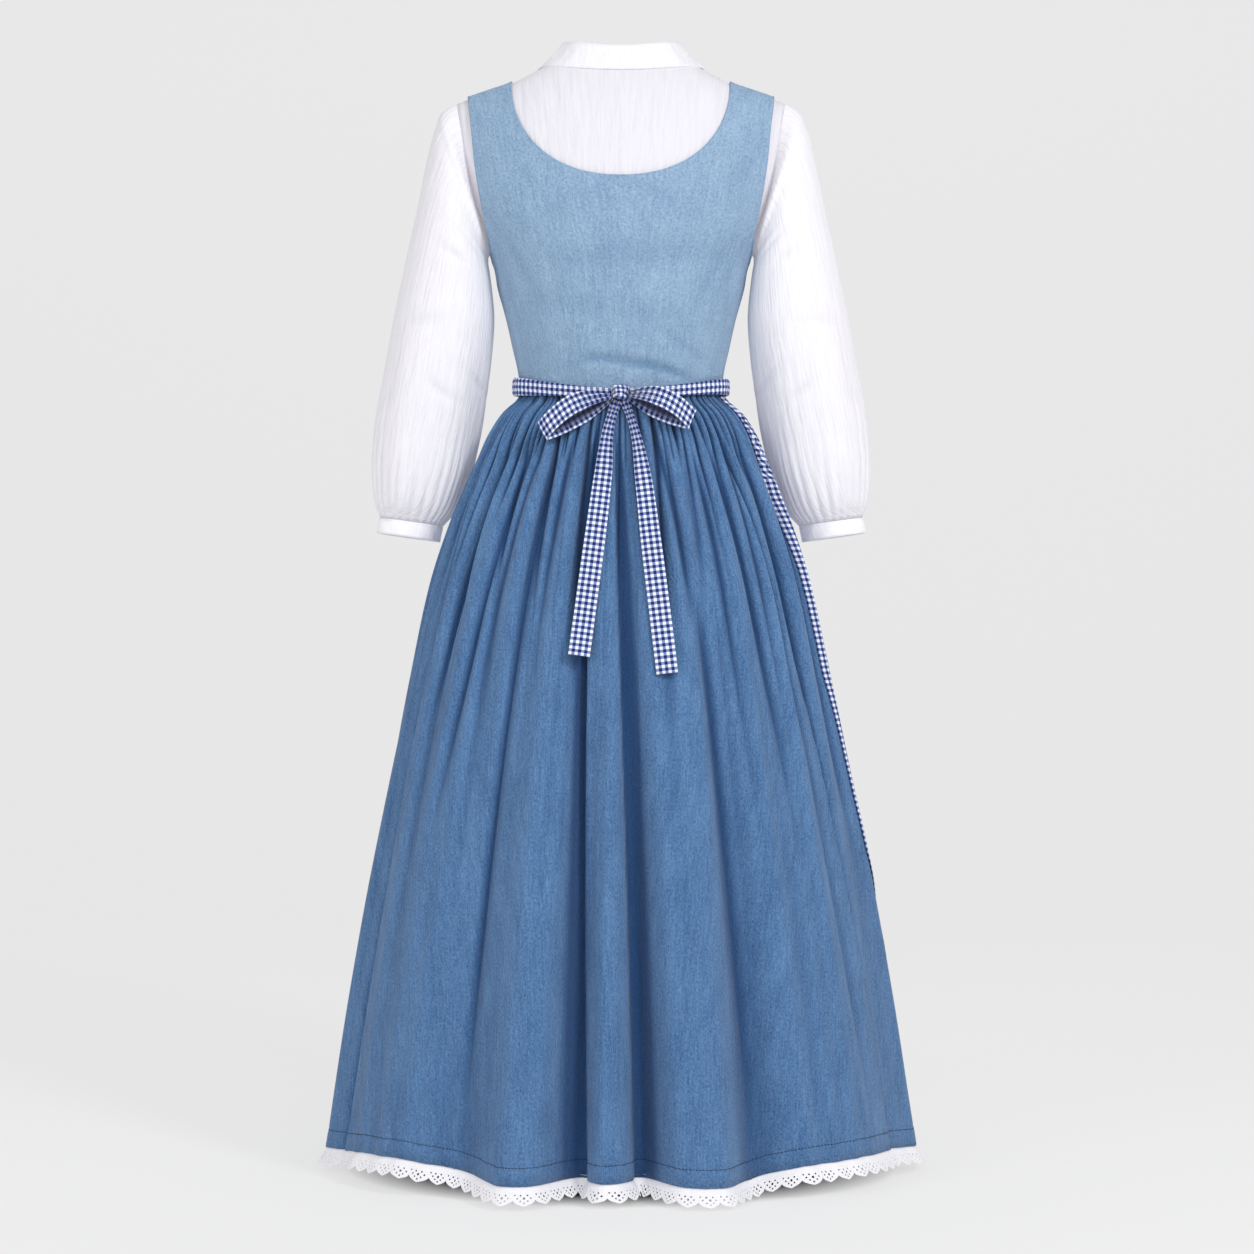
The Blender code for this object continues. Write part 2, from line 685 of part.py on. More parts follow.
def fold_rise(angle, down):
    """How far gathers and folds lift the cloth off the skirt's smooth section."""
    count = gathers_at(angle)
    which = np.floor(count + 1e-6)
    uneven = 1 + 0.28 * np.cos(2.4 * which) + 0.18 * np.sin(5.1 * which + 1)
    wave = -np.cos(2 * np.pi * count)
    rise = through(GATHER_DEPTH, "gather", down) * wave * uneven
    turned = 2 * np.pi * count / ALL_GATHERS
    middle = np.cos(turned * MIDDLE_FOLDS + 0.9 * np.sin(turned * 3))
    rise = rise + through(GATHER_DEPTH, "middle", down) * middle * (0.75 + 0.35 * np.sin(1.3 * which))
    for fold in FOLDS:
        grown = ease_in((down - fold["begins"]) / (1.15 - fold["begins"])) ** 0.8
        centre = fold["waist"] + (fold["hem"] - fold["waist"]) * down
        for turn in (-360, 0, 360):
            off = np.clip(np.abs(angle + turn - centre) / (1.5 * fold["half_width"]), 0, 1)
            rise = rise + fold["rise"] * grown * (1 + np.cos(np.pi * off)) / 2
    return rise


def skirt(angle, down, out=0.0):
    """Points of the skirt at angles from the centre back and shares of its length, moved out by a distance."""
    angle, down = np.broadcast_arrays(np.asarray(angle, float), np.asarray(down, float))
    level = WAIST_Z + (HEM_Z - WAIST_Z) * down
    s, c = np.sin(np.radians(angle)), np.cos(np.radians(angle))
    half_width = through(SKIRT, "half_width", level)
    depth = np.where(c > 0, through(SKIRT, "back", level), through(SKIRT, "front", level))
    facing = np.stack([s / half_width, -c / depth], axis=-1)
    facing /= np.linalg.norm(facing, axis=-1, keepdims=True)
    rise = fold_rise(angle, down) + out
    top = waist_z(angle)
    x = half_width * s + rise * facing[..., 0]
    y = -depth * c + rise * facing[..., 1]
    return np.stack([x, y, top + (HEM_Z - top) * down], axis=-1)


def skirt_columns(first, last, gathers):
    """Angles of a panel's columns, two to each gather."""
    return np.linspace(first, last, 2 * gathers + 1)


def skirt_panels():
    """The skirt's back and front, gathered into the waist, 0.3 mm apart at the side seams."""
    for name, first, gathers in (("skirt_back", -90, BACK_GATHERS), ("skirt_front", 90, FRONT_GATHERS)):
        side = BACK if first < 0 else FRONT
        angles = skirt_columns(first, first + 180, gathers)
        skins = [skirt(angles[None], np.array(SKIRT_ROWS)[:, None], out) for out in (0.0, -CLOTH)]
        for skin in skins:
            skin[:, [0, -1], 1] = side * HALF_SEAM
        wall(name, [skins], "skirt_chambray")


def on_skirt(angle, down, out):
    """Points moved out from the skirt's panels as built, with straight lines between rows and columns."""
    gathers = np.where((angle < 90) | (angle > 270), BACK_GATHERS, FRONT_GATHERS)
    width = 180 / (2 * gathers)
    row = int(np.clip(np.searchsorted(SKIRT_ROWS, down, side="right") - 1, 0, len(SKIRT_ROWS) - 2))
    above, below = SKIRT_ROWS[row], SKIRT_ROWS[row + 1]
    column = np.floor((angle - 90) / width + 1e-6)
    share = ((angle - 90) / width - column)[:, None]
    left, right = 90 + column * width, 90 + (column + 1) * width
    edges = []
    for level in (above, below):
        edges.append(skirt(left, level, out) * (1 - share) + skirt(right, level, out) * share)
    part = (down - above) / (below - above)
    return edges[0] * (1 - part) + edges[1] * part


def apron():
    """The apron lies on the skirt's front and reaches round its sides. It is the skirt's points moved out."""
    hem = (WAIST_Z - APRON_HEM_Z) / (WAIST_Z - HEM_Z)
    rows = sorted([down for down in SKIRT_ROWS + APRON_MORE_ROWS if down < hem] + [hem])
    front = skirt_columns(90, 270, FRONT_GATHERS)[:-2]
    behind = 2 * APRON_BACK_GATHERS
    skins = [[], []]
    for down in rows:
        levels = APRON_EDGES["down"]
        past_right = np.interp(down, levels, APRON_EDGES["right"])
        past_left = np.interp(down, levels, APRON_EDGES["left"])
        gap = np.interp(down, levels, APRON_EDGES["gap"])
        angles = np.concatenate([np.linspace(90 - past_right, 90, behind, endpoint=False), front])
        angles[-1] = 270 + past_left
        for skin, cloth in zip(skins, (CLOTH, 0.0)):
            skin.append(on_skirt(angles, down, gap + cloth))
    wall("apron", [[np.array(skin) for skin in skins]], "gingham")


def lace_places(columns):
    """Places along the lace: its points, the valleys between, and the skirt's columns not close to those."""
    zigzag = np.arange(2 * LACE_POINTS) / (2 * LACE_POINTS)
    apart = np.abs(columns[:, None] - np.append(zigzag, 1.0)[None]).min(axis=1)
    return np.sort(np.concatenate([zigzag, columns[apart > 0.02 / LACE_POINTS]]))


def hem_lace():
    """Eyelet lace sewn behind the hem all round, with its pointed edge below it."""
    back = skirt_columns(-90, 90, BACK_GATHERS)[:-1]
    front = skirt_columns(90, 270, FRONT_GATHERS)[:-1]
    angles = np.concatenate([back, front])
    length = HEM_Z - WAIST_Z
    rows = (1 + LACE_BEHIND / length, 1.0)
    skins = []
    for out in (-CLOTH - LACE_GAP, -CLOTH - LACE_GAP - LACE_THICKNESS):
        above, hem = (skirt(angles, down, out) for down in rows)
        closed = np.concatenate([hem, hem[:1]])
        steps = np.linalg.norm(np.diff(closed, axis=0), axis=1)
        along = np.concatenate([[0.0], np.cumsum(steps)])
        if not skins:
            shares = lace_places(along / along[-1])
        top, bottom = [], []
        for part in shares:
            place = part * along[-1]
            fall = LACE_VALLEY + (LACE_TIP - LACE_VALLEY) * (1 - abs(1 - part * 2 * LACE_POINTS % 2))
            i = min(np.searchsorted(along, place, side="right") - 1, len(angles) - 1)
            share = (place - along[i]) / steps[i]
            n = (i + 1) % len(angles)
            upper = above[i] + (above[n] - above[i]) * share
            lower = hem[i] + (hem[n] - hem[i]) * share
            top.append(upper)
            bottom.append(lower + (lower - upper) * fall / LACE_BEHIND)
        skins.append(np.array([top, bottom]))
    wall("hem_lace", [skins], "eyelet_lace", ring=True)


# The apron's ties and bow


def band(name, first, last, columns, ends=(1.0, 1.0)):
    """A folded band round the waist over the seam. ends gives its width at each end as a share of the whole."""
    angles = np.linspace(first, last, columns)
    clear = TIE_CLEAR + (BAND_CLEAR - TIE_CLEAR) * ease_in((np.abs(angles) - 50) / 25)
    widths = TIE_FOLDED * np.linspace(ends[0], ends[1], columns) ** 0.8
    skins = []
    for out in (clear + TIE_CLOTH, clear):
        ring = skirt(angles, 0.0, 0.0)
        rise = fold_rise(angles, np.zeros(columns))
        smooth = skirt(angles, 0.0, out) - (skirt(angles, 0.0, rise) - ring)
        rows = []
        for share in (-0.5, 0.5):
            row = smooth.copy()
            row[:, 2] += share * widths
            rows.append(row)
        skins.append(np.array(rows))
    wall(name, [skins], "gingham")


def ribbon(name, centres, across, widths):
    """A strip of tie cloth along its centres, as wide as widths in the directions across."""
    along = np.gradient(centres, axis=0)
    normal = np.cross(along, across)
    normal /= np.linalg.norm(normal, axis=1, keepdims=True)
    skins = []
    for out in (TIE_CLOTH / 2, -TIE_CLOTH / 2):
        edges = [centres + across * widths[:, None] * share + normal * out for share in (-0.5, 0.0, 0.5)]
        skins.append(np.stack(edges, axis=1))
    wall(name, [skins], "gingham")


def skirt_back_y(x, z):
    """How far back the skirt's folds reach near x at that height."""
    angles = np.linspace(-40, 40, 321)
    share = (z - waist_z(0.0)) / (HEM_Z - waist_z(0.0))
    points = skirt(angles, np.full_like(angles, max(share, 0.0)))
    near = np.abs(points[:, 0] - x) < 0.017
    return points[near, 1].min()


def bow_loop(name, hand, reach, drop):
    """A loop of the bow: out from the knot in front, round its tip and back behind, a little lower."""
    turns = np.linspace(-0.93 * np.pi, 0.93 * np.pi, 15)
    shares = 0.5 * (1 + np.cos(turns))
    gaps = LOOP_OPENING * np.sin(turns) * np.sin(np.pi * (0.08 + 0.84 * shares)) ** 0.7
    outward = Vector((hand * reach, 0.0, -drop)).normalized()
    down = Vector((hand * outward.z, 0.0, -hand * outward.x))
    far = np.hypot(reach, drop)
    centres, widths = [], []
    for share, gap in zip(shares, gaps):
        place = KNOT + outward * (LOOP_START + far * share) + down * (gap * 0.55)
        lying = skirt_back_y(place.x, place.z - 0.012) - TIE_CLEAR - LOOP_OPENING
        start = KNOT.y - 0.002
        place.y = min(start, start + (lying - start) * min(1.0, share * 2)) + gap
        centres.append(place)
        widths.append(TIE_WIDTH * (0.38 + 0.62 * min(1.0, share * 2.6)))
    across = np.tile(np.array(down), (len(centres), 1))
    ribbon(name, np.array(centres), across, np.array(widths))


def tail(name, rows, clear):
    """A hanging end of the tie, which rests on the skirt's folds, its middle this far off them."""
    places = np.linspace(0, 1, 15)
    x, z, widths = (through(rows, column, places) for column in ("x", "z", "width"))
    lying = np.array([skirt_back_y(px, pz) for px, pz in zip(x, z)]) - clear
    y = np.minimum(lying, KNOT.y + 0.35 * KNOT_SIZE.y - 0.10 * places)
    slope = np.gradient(x, z)
    across = np.stack([np.ones_like(slope), np.zeros_like(slope), -slope], axis=-1)
    across /= np.linalg.norm(across, axis=1, keepdims=True)
    ribbon(name, np.stack([x, y, z], axis=-1), across, widths)


def knot():
    """The bow's knot: a short padded block of cloth."""
    bm = bmesh.new()
    bmesh.ops.create_uvsphere(bm, u_segments=12, v_segments=7, radius=0.5)
    for vert in bm.verts:
        squared = Vector([np.sign(v) * abs(v / 0.5) ** 0.75 * 0.5 for v in vert.co])
        vert.co = KNOT + Vector([a * b for a, b in zip(squared, KNOT_SIZE)])
    add_object("bow_knot", bm, "gingham")


# Buttons


def button(name, place, facing, radius, thickness):
    """A flat round button that stands on the cloth at a place."""
    bm = bmesh.new()
    bmesh.ops.create_cone(
        bm, cap_ends=True, segments=16, radius1=radius, radius2=radius * 0.9, depth=thickness
    )
    made = add_object(name, bm, "button")
    made.rotation_mode = "QUATERNION"
    made.rotation_quaternion = Vector(facing).to_track_quat("Z", "Y")
    made.location = Vector(place) + Vector(facing).normalized() * (thickness / 2 + SEAM)


def blouse_front(z):
    """A point on the blouse's centre front at a height, and the direction it faces."""
    places = []
    for height in (z, z - 0.004):
        turn, rise = on_torso(np.array(0.0), np.array(height), BLOUSE_EASE, BLOUSE_RAISE)
        places.append(Vector(torso(turn, rise, FRONT, BLOUSE_EASE, BLOUSE_RAISE)))
    slope = places[0] - places[1]
    return places[0], Vector((0.0, slope.z, -slope.y))


def lapped_front(z):
    """A point on the centre line of the bodice's right front as it is built, and the direction it faces."""
    columns = np.moveaxis(bodice_front(0.0, 1, -BUTTON_LAP)[: BODICE_LOWER_ROWS + 1, :2], 1, 0)

    def between(column, height):
        return Vector([np.interp(height, column[:, 2], column[:, axis]) for axis in range(3)])

    edge, beside = (between(column, z) for column in columns)
    upward = between(columns[0], z + 0.004) - between(columns[0], z - 0.004)
    facing = upward.cross(beside - edge)
    return edge.lerp(beside, -edge.x / (beside.x - edge.x)), facing


def buttons():
    """Buttons down the bodice's front and the blouse's front."""
    for i in range(BODICE_BUTTONS):
        place, facing = lapped_front(BODICE_BUTTON_TOP_Z - i * BODICE_BUTTON_STEP)
        button(f"bodice_button_{i + 1}", place, facing, BODICE_BUTTON_RADIUS, BODICE_BUTTON_THICKNESS)
    for i, z in enumerate(BLOUSE_BUTTON_HEIGHTS):
        place, facing = blouse_front(z)
        button(f"blouse_button_{i + 1}", place, facing, BLOUSE_BUTTON_RADIUS, BLOUSE_BUTTON_THICKNESS)


def main():
    for old in list(bpy.data.objects):
        bpy.data.objects.remove(old)
    garment = bpy.data.collections.new("dirndl")
    bpy.context.scene.collection.children.link(garment)
    bodice()
    blouse_body()
    collar()
    sleeves()
    skirt_panels()
    apron()
    hem_lace()
    band("apron_waistband", WAISTBAND_END, 360 - WAISTBAND_END, 26)
    band("tie_right", TIE_ENDS[0], TIE_ENDS[1], 13, (TIE_NARROWED, 1.0))
    band("tie_left", -TIE_ENDS[1], -TIE_ENDS[0], 13, (1.0, TIE_NARROWED))
    knot()
    bow_loop("bow_loop_left", -1, LEFT_LOOP_REACH, LEFT_LOOP_DROP)
    bow_loop("bow_loop_right", 1, RIGHT_LOOP_REACH, RIGHT_LOOP_DROP)
    tail("tail_left", LEFT_TAIL, LEFT_TAIL_CLEAR)
    tail("tail_right", RIGHT_TAIL, RIGHT_TAIL_CLEAR)
    buttons()


main()
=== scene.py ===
"""The looks of a dirndl with its blouse and apron: its cloth, folds, gathers, sewing, lace and buttons.

Metres, +Z up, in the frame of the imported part. The wearer's back faces -Y and their right hand is at +X.
"""

import bmesh
import bpy
import numpy as np
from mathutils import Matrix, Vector
from mathutils.geometry import delaunay_2d_cdt


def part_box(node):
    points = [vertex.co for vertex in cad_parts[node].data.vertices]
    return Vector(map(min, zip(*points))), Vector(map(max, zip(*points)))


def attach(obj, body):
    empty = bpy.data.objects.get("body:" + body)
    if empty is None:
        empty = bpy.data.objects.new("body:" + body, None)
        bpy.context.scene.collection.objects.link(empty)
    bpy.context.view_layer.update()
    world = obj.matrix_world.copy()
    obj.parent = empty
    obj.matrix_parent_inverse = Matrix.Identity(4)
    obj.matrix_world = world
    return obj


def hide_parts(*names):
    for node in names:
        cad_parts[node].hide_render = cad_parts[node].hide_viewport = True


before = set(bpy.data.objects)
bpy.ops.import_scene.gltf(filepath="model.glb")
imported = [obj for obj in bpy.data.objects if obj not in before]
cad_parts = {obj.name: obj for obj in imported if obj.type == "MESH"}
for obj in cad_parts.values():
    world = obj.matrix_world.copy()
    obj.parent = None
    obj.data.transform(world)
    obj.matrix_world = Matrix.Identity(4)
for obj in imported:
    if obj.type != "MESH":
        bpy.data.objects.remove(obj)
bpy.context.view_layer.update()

# The camera, and the photograph that it stands for
PHOTO_SIDE = 1254
METRES_PER_PIXEL = 0.0013
CAMERA = Vector((0.0078, -3.8, -0.698))
SENSOR_MM = 36.0

# The gap at a sewn seam
SEAM = 0.0003
HALF_SEAM = SEAM / 2

# Heights that drive the rest
ARMPIT_Z = -0.226
WAIST_Z = -0.387
WAIST_DIP = 0.013
HEM_Z = -1.363
BLOUSE_HEM_Z = -0.330
APRON_HEM_Z = -1.300

# The blouse lies inside the bodice: how far in, how much higher its armpits are, and what share of the first
# its shoulder seam lies lower
BLOUSE_EASE = 0.0045
BLOUSE_RAISE = 0.014
BLOUSE_FIT = (BLOUSE_EASE, BLOUSE_RAISE)
SHOULDER_EASE = 0.8

# Upper sections are flattened along this curve towards the shoulder seam, at this rise over the armpit
SHOULDER_POWER = 2.4
SHOULDER_SPAN = 0.2

# The sides, by the sign of y
BACK, FRONT = -1, 1

# A point of the upright line that the body's cloth faces away from, and the body's mean radius
AXIS = np.array([0.0, 0.01, 0.0])
BODY_RADIUS = 0.125

# Thickness of the blouse's and the apron's cloth, the folded bands, and the lace
THIN_CLOTH = 0.0008
FOLDED_BAND = 0.0014
LACE_CLOTH = 0.0006


def table(columns, *rows):
    """A short table with named columns, sorted by its first column."""
    made = np.array(list(rows), dtype=[(name, float) for name in columns.split()])
    return np.sort(made, order=made.dtype.names[0])


# Smooth sections of the body under the cloth, by height
BODY = table(
    "z half_width back front",
    (0.060, 0.252, 0.090, 0.080),
    (0.000, 0.243, 0.100, 0.092),
    (-0.050, 0.234, 0.108, 0.106),
    (-0.100, 0.222, 0.113, 0.120),
    (-0.150, 0.207, 0.114, 0.132),
    (-0.200, 0.184, 0.111, 0.138),
    (-0.226, 0.1675, 0.108, 0.138),
    (-0.260, 0.1600, 0.104, 0.134),
    (-0.300, 0.1490, 0.098, 0.122),
    (-0.340, 0.1400, 0.092, 0.110),
    (-0.364, 0.1345, 0.088, 0.104),
    (-0.387, 0.1315, 0.085, 0.099),
    (-0.430, 0.1315, 0.085, 0.099),
)

# Smooth sections of the skirt, by height at the side seams
SKIRT = table(
    "z half_width back front",
    (-0.387, 0.1315, 0.085, 0.099),
    (-0.400, 0.1340, 0.087, 0.101),
    (-0.418, 0.1530, 0.099, 0.112),
    (-0.442, 0.1690, 0.109, 0.124),
    (-0.480, 0.1850, 0.121, 0.137),
    (-0.530, 0.2065, 0.137, 0.154),
    (-0.611, 0.2350, 0.159, 0.178),
    (-0.767, 0.2720, 0.194, 0.214),
    (-0.975, 0.3140, 0.233, 0.253),
    (-1.183, 0.3510, 0.267, 0.288),
    (-1.363, 0.3780, 0.296, 0.316),
)

# The shoulder seam's height, from the neck outwards
SHOULDER = table(
    "x z",
    (0.000, 0.0500),
    (0.080, 0.0410),
    (0.109, 0.0290),
    (0.142, 0.0104),
    (0.170, 0.0008),
    (0.199, -0.0091),
    (0.215, -0.0160),
    (0.240, -0.0300),
)

# Where the armholes run, as distances from the centre plane
BODICE_ARMHOLE = table(
    "z x",
    (-0.226, 0.1675),
    (-0.192, 0.1725),
    (-0.152, 0.1804),
    (-0.105, 0.1878),
    (-0.058, 0.1928),
    (-0.0091, 0.1990),
)
BLOUSE_ARMHOLE = table(
    "z x",
    (-0.212, 0.1620),
    (-0.190, 0.1735),
    (-0.152, 0.1875),
    (-0.105, 0.1980),
    (-0.058, 0.2065),
    (-0.0187, 0.2130),
)

# Bodice neckline: a U from shoulder to shoulder
NECK_HALF_WIDTH = 0.1417
NECK_TOP_Z = 0.0104
BACK_NECK_DEPTH = 0.137
BACK_NECK_POWER = 2.2
FRONT_NECK_DEPTH = 0.205
FRONT_NECK_POWER = 2.5

# Blouse neck edge and the collar band on it, with its points, which are eased over COLLAR_SOFT columns
COLLAR_HALF_WIDTH = 0.1086
COLLAR_SIDE_Z = 0.0286
COLLAR_BACK_Z = 0.0166
COLLAR_FRONT_Z = -0.048
COLLAR_SIDE_LEAN = 0.031
COLLAR_BACK_LEAN = 0.006
COLLAR_FRONT_LEAN = 0.014
COLLAR_HEIGHT = 0.033
COLLAR_COLUMNS = 241
COLLAR_ROWS = 13
COLLAR_SOFT = 12
COLLAR_END = 179.6
NECK_STEPS = 40

# How far the bodice's right front runs past the centre, and how far from there its points move over
BUTTON_LAP = 0.009
LAP_REACH = 0.016

# Rows and columns of half a panel: below the armpit, and from there to the shoulder
BODICE_LOWER_ROWS = 44
BODICE_UPPER_ROWS = 70
BODICE_COLUMNS = 60
BLOUSE_LOWER_ROWS = 12
BLOUSE_UPPER_ROWS = 60
BLOUSE_COLUMNS = 60

# Gathers: the number across half the waist, and their depth and that of the middle folds down the skirt
BACK_GATHERS = 38
FRONT_GATHERS = 18
GATHER_DEPTH = table(
    "down gather middle",
    (0.00, 0.0012, 0.0000),
    (0.014, 0.0016, 0.0000),
    (0.03, 0.0032, 0.0006),
    (0.06, 0.0038, 0.0022),
    (0.12, 0.0030, 0.0046),
    (0.20, 0.0017, 0.0062),
    (0.34, 0.0006, 0.0056),
    (0.55, 0.0001, 0.0036),
    (1.00, 0.0000, 0.0022),
)
ALL_GATHERS = BACK_GATHERS + FRONT_GATHERS
MIDDLE_FOLDS = 19

# The large folds: angle from the centre back at waist and hem, half width and rise at the hem, and the share
# of the skirt's length where each begins
FOLDS = table(
    "waist hem half_width rise begins",
    (-84, -81, 6, 0.006, 0.10),
    (-73, -67, 6, -0.008, 0.08),
    (-50, -48, 15, 0.008, 0.30),
    (-33, -33, 6, -0.016, 0.20),
    (-19, -19, 8, 0.036, 0.15),
    (-8, -9, 4, -0.028, 0.10),
    (-2, -2.5, 4, 0.012, 0.05),
    (3, 5.5, 4, -0.036, 0.00),
    (12, 15, 8, 0.030, 0.20),
    (26, 28, 7, -0.024, 0.10),
    (44, 47, 14, 0.010, 0.30),
    (72, 68, 6, -0.006, 0.08),
    (80, 81, 6, 0.006, 0.30),
    (94, 96, 8, -0.020, 0.20),
    (110, 112, 11, 0.020, 0.12),
    (122, 123, 7, -0.024, 0.15),
    (141, 142, 10, 0.024, 0.20),
    (160, 159, 8, -0.026, 0.10),
    (180, 180, 12, 0.020, 0.20),
    (201, 202, 8, -0.026, 0.10),
    (219, 218, 10, 0.024, 0.20),
    (238, 237, 7, -0.024, 0.15),
    (250, 248, 11, 0.020, 0.12),
    (266, 264, 8, -0.020, 0.20),
)

# The apron's clearance over the skirt, and its edges by share of the skirt's length, as angles round from the
# side seams towards the back
APRON_OVER = 0.0022
APRON_EDGES = table(
    "down right left",
    (0.000, 11.84, -5.00),
    (0.014, 18.95, -10.0),
    (0.084, 17.50, -10.0),
    (0.124, 14.50, -10.0),
    (0.240, 14.00, -10.0),
    (0.379, 14.50, -10.0),
    (0.464, 13.20, -10.0),
    (0.615, 12.20, -11.0),
    (0.660, 10.00, -11.0),
    (0.760, 5.000, -12.0),
    (0.830, 2.000, -12.0),
    (1.000, 1.000, -12.0),
)

# The lace: how far above the hem and inside the skirt it starts, its fall at valleys and tips, its eyelets
LACE_POINTS = 104
LACE_BEHIND = 0.004
LACE_VALLEY = 0.0150
LACE_TIP = 0.0215
LACE_INSIDE = 0.0018
EYELET_SIDES = 8
EYELETS = table(
    "x y radius",
    (0.0000, -0.0180, 0.0012),
    (-0.0036, -0.0158, 0.0011),
    (0.0036, -0.0158, 0.0011),
    (0.0000, -0.0128, 0.0015),
    (-0.0070, -0.0128, 0.0011),
    (0.0070, -0.0128, 0.0011),
    (-0.0036, -0.0096, 0.0011),
    (0.0036, -0.0096, 0.0011),
    (-0.0100, -0.0092, 0.0010),
)

# The ties and their bow
TIE_WIDTH = 0.026
TIE_FOLDED = 0.0195
TIE_CLOTH = 0.0014
TIE_CLEAR = 0.0042
BAND_CLEAR = 0.0085
WAISTBAND_END = 81.4
WAISTBAND_COLUMNS = 260
TIE_COLUMNS = 140
BAND_ROWS = 17
RIBBON_ROWS = 21
LOOP_STEPS = 97
TAIL_STEPS = 90
TIE_ENDS = (1.0, 81.0)
TIE_NARROWED, RIGHT_TIE_WIDENED, LEFT_TIE_WIDENED = 0.4, 1.15, 1.35
KNOT = Vector((-0.001, -0.0995, -0.4000))
KNOT_SIZE = Vector((0.024, 0.017, 0.019))
KNOT_SIDES = 64
KNOT_RINGS = 48
LOOP_START = 0.0114
LOOP_APART = 0.0150
LOOP_LOWERED = 0.0075
LOOP_ARCH = 0.0045
LEFT_LOOP_REACH, LEFT_LOOP_DROP = 0.088, 0.046
RIGHT_LOOP_REACH, RIGHT_LOOP_DROP = 0.080, 0.032

# The hanging ends of the ties, by share of the way down
LEFT_TAIL_CLEAR = 0.0022
RIGHT_TAIL_CLEAR = 0.0015
LEFT_TAIL = table(
    "down x z width",
    (0.00, -0.0050, -0.4090, 0.0095),
    (0.12, -0.0155, -0.4480, 0.0135),
    (0.30, -0.0220, -0.5050, 0.0220),
    (0.50, -0.0300, -0.5700, 0.0255),
    (0.75, -0.0410, -0.6540, 0.0265),
    (1.00, -0.0515, -0.7330, 0.0270),
)
RIGHT_TAIL = table(
    "down x z width",
    (0.00, 0.0048, -0.4090, 0.0080),
    (0.12, 0.0175, -0.4500, 0.0110),
    (0.30, 0.0280, -0.5100, 0.0205),
    (0.50, 0.0370, -0.5850, 0.0250),
    (0.75, 0.0480, -0.6750, 0.0265),
    (1.00, 0.0575, -0.7550, 0.0270),
)

# Sleeve rings by share of its length: the outer and inner edge seen from behind, and the middle and half
# of the depth
SLEEVE = table(
    "along outer_x outer_z inner_x inner_z middle_y half_depth",
    (0.02, 0.2290, -0.0270, 0.1700, -0.2150, 0.000, 0.052),
    (0.07, 0.2400, -0.0480, 0.1725, -0.2220, 0.000, 0.057),
    (0.15, 0.2510, -0.0870, 0.1705, -0.2380, 0.001, 0.062),
    (0.26, 0.2625, -0.1430, 0.1675, -0.2620, 0.003, 0.065),
    (0.40, 0.2780, -0.2120, 0.1650, -0.2980, 0.008, 0.067),
    (0.55, 0.2950, -0.2900, 0.1690, -0.3440, 0.016, 0.068),
    (0.70, 0.3100, -0.3700, 0.1775, -0.4020, 0.026, 0.067),
    (0.83, 0.3230, -0.4400, 0.1885, -0.4600, 0.036, 0.064),
    (0.92, 0.3260, -0.5000, 0.2040, -0.5150, 0.043, 0.059),
    (0.97, 0.3225, -0.5350, 0.2200, -0.5480, 0.047, 0.049),
    (1.00, 0.3170, -0.5540, 0.2355, -0.5660, 0.049, 0.037),
)
SLEEVE_COLUMNS = 168
SLEEVE_ROWS = 110
SLEEVE_GATHERS = 14
SLEEVE_PLEAT = 0.0038
SLEEVE_FOLD = 0.0011
ARMHOLE_GAP = 0.0010
CUFF_HEIGHT = 0.0205
CUFF_COLUMNS = 144
CUFF_ROWS = 11
CUFF_DIRECTION = Vector((0.20, 0.06, -1.0)).normalized()


def smooth(places, values, at):
    """Values at new places, on a smooth curve through those at the given ones."""
    at = np.clip(np.asarray(at, float), places[0], places[-1])
    slopes = np.gradient(values, places, axis=0)
    i = np.clip(np.searchsorted(places, at, side="right") - 1, 0, len(places) - 2)
    step = places[i + 1] - places[i]
    t = (at - places[i]) / step
    for _ in values.shape[1:]:
        step, t = step[..., None], t[..., None]
    return (
        (2 * t**3 - 3 * t**2 + 1) * values[i]
        + (t**3 - 2 * t**2 + t) * step * slopes[i]
        + (3 * t**2 - 2 * t**3) * values[i + 1]
        + (t**3 - t**2) * step * slopes[i + 1]
    )


def through(rows, column, at):
    """A table's column at each place, on a smooth curve through its rows."""
    return smooth(rows[rows.dtype.names[0]], rows[column], at)


def ease_in(t):
    """0 to 1, smooth at both ends."""
    t = np.clip(t, 0.0, 1.0)
    return t * t * (3 - 2 * t)


# The forms, which the solids of the CAD part have as well


def shoulder_z(x, ease):
    """Height of the shoulder seam at a distance from the centre, for cloth that lies this far in."""
    return through(SHOULDER, "z", np.abs(x)) - SHOULDER_EASE * ease


def torso(turn, rise, side, ease=0.0, lift=0.0):
    """Points on the upper form. turn is 0 at the centre and 90 at the side. rise is the height over the
    armpit, which above it is a share of the way to the shoulder seam. ease moves the cloth in, and lift
    raises the armpit."""
    turn, rise = np.broadcast_arrays(np.radians(turn), np.asarray(rise, float))
    armpit = ARMPIT_Z + lift
    up = np.clip(rise / SHOULDER_SPAN, 0.0, 1.0)
    half_width = through(BODY, "half_width", armpit + rise - lift * (1 - up))
    for _ in range(3):
        x = (half_width - ease) * np.sin(turn)
        top = shoulder_z(x, ease)
        z = np.where(rise > 0, armpit + (top - armpit) * up, armpit + rise)
        half_width = through(BODY, "half_width", z - lift * (1 - up))
    depth = through(BODY, "back" if side == BACK else "front", z - lift * (1 - up)) - ease
    flat = (1 - up**SHOULDER_POWER) ** (1 / SHOULDER_POWER)
    return np.stack([x, side * depth * np.cos(turn) * flat, z], axis=-1)


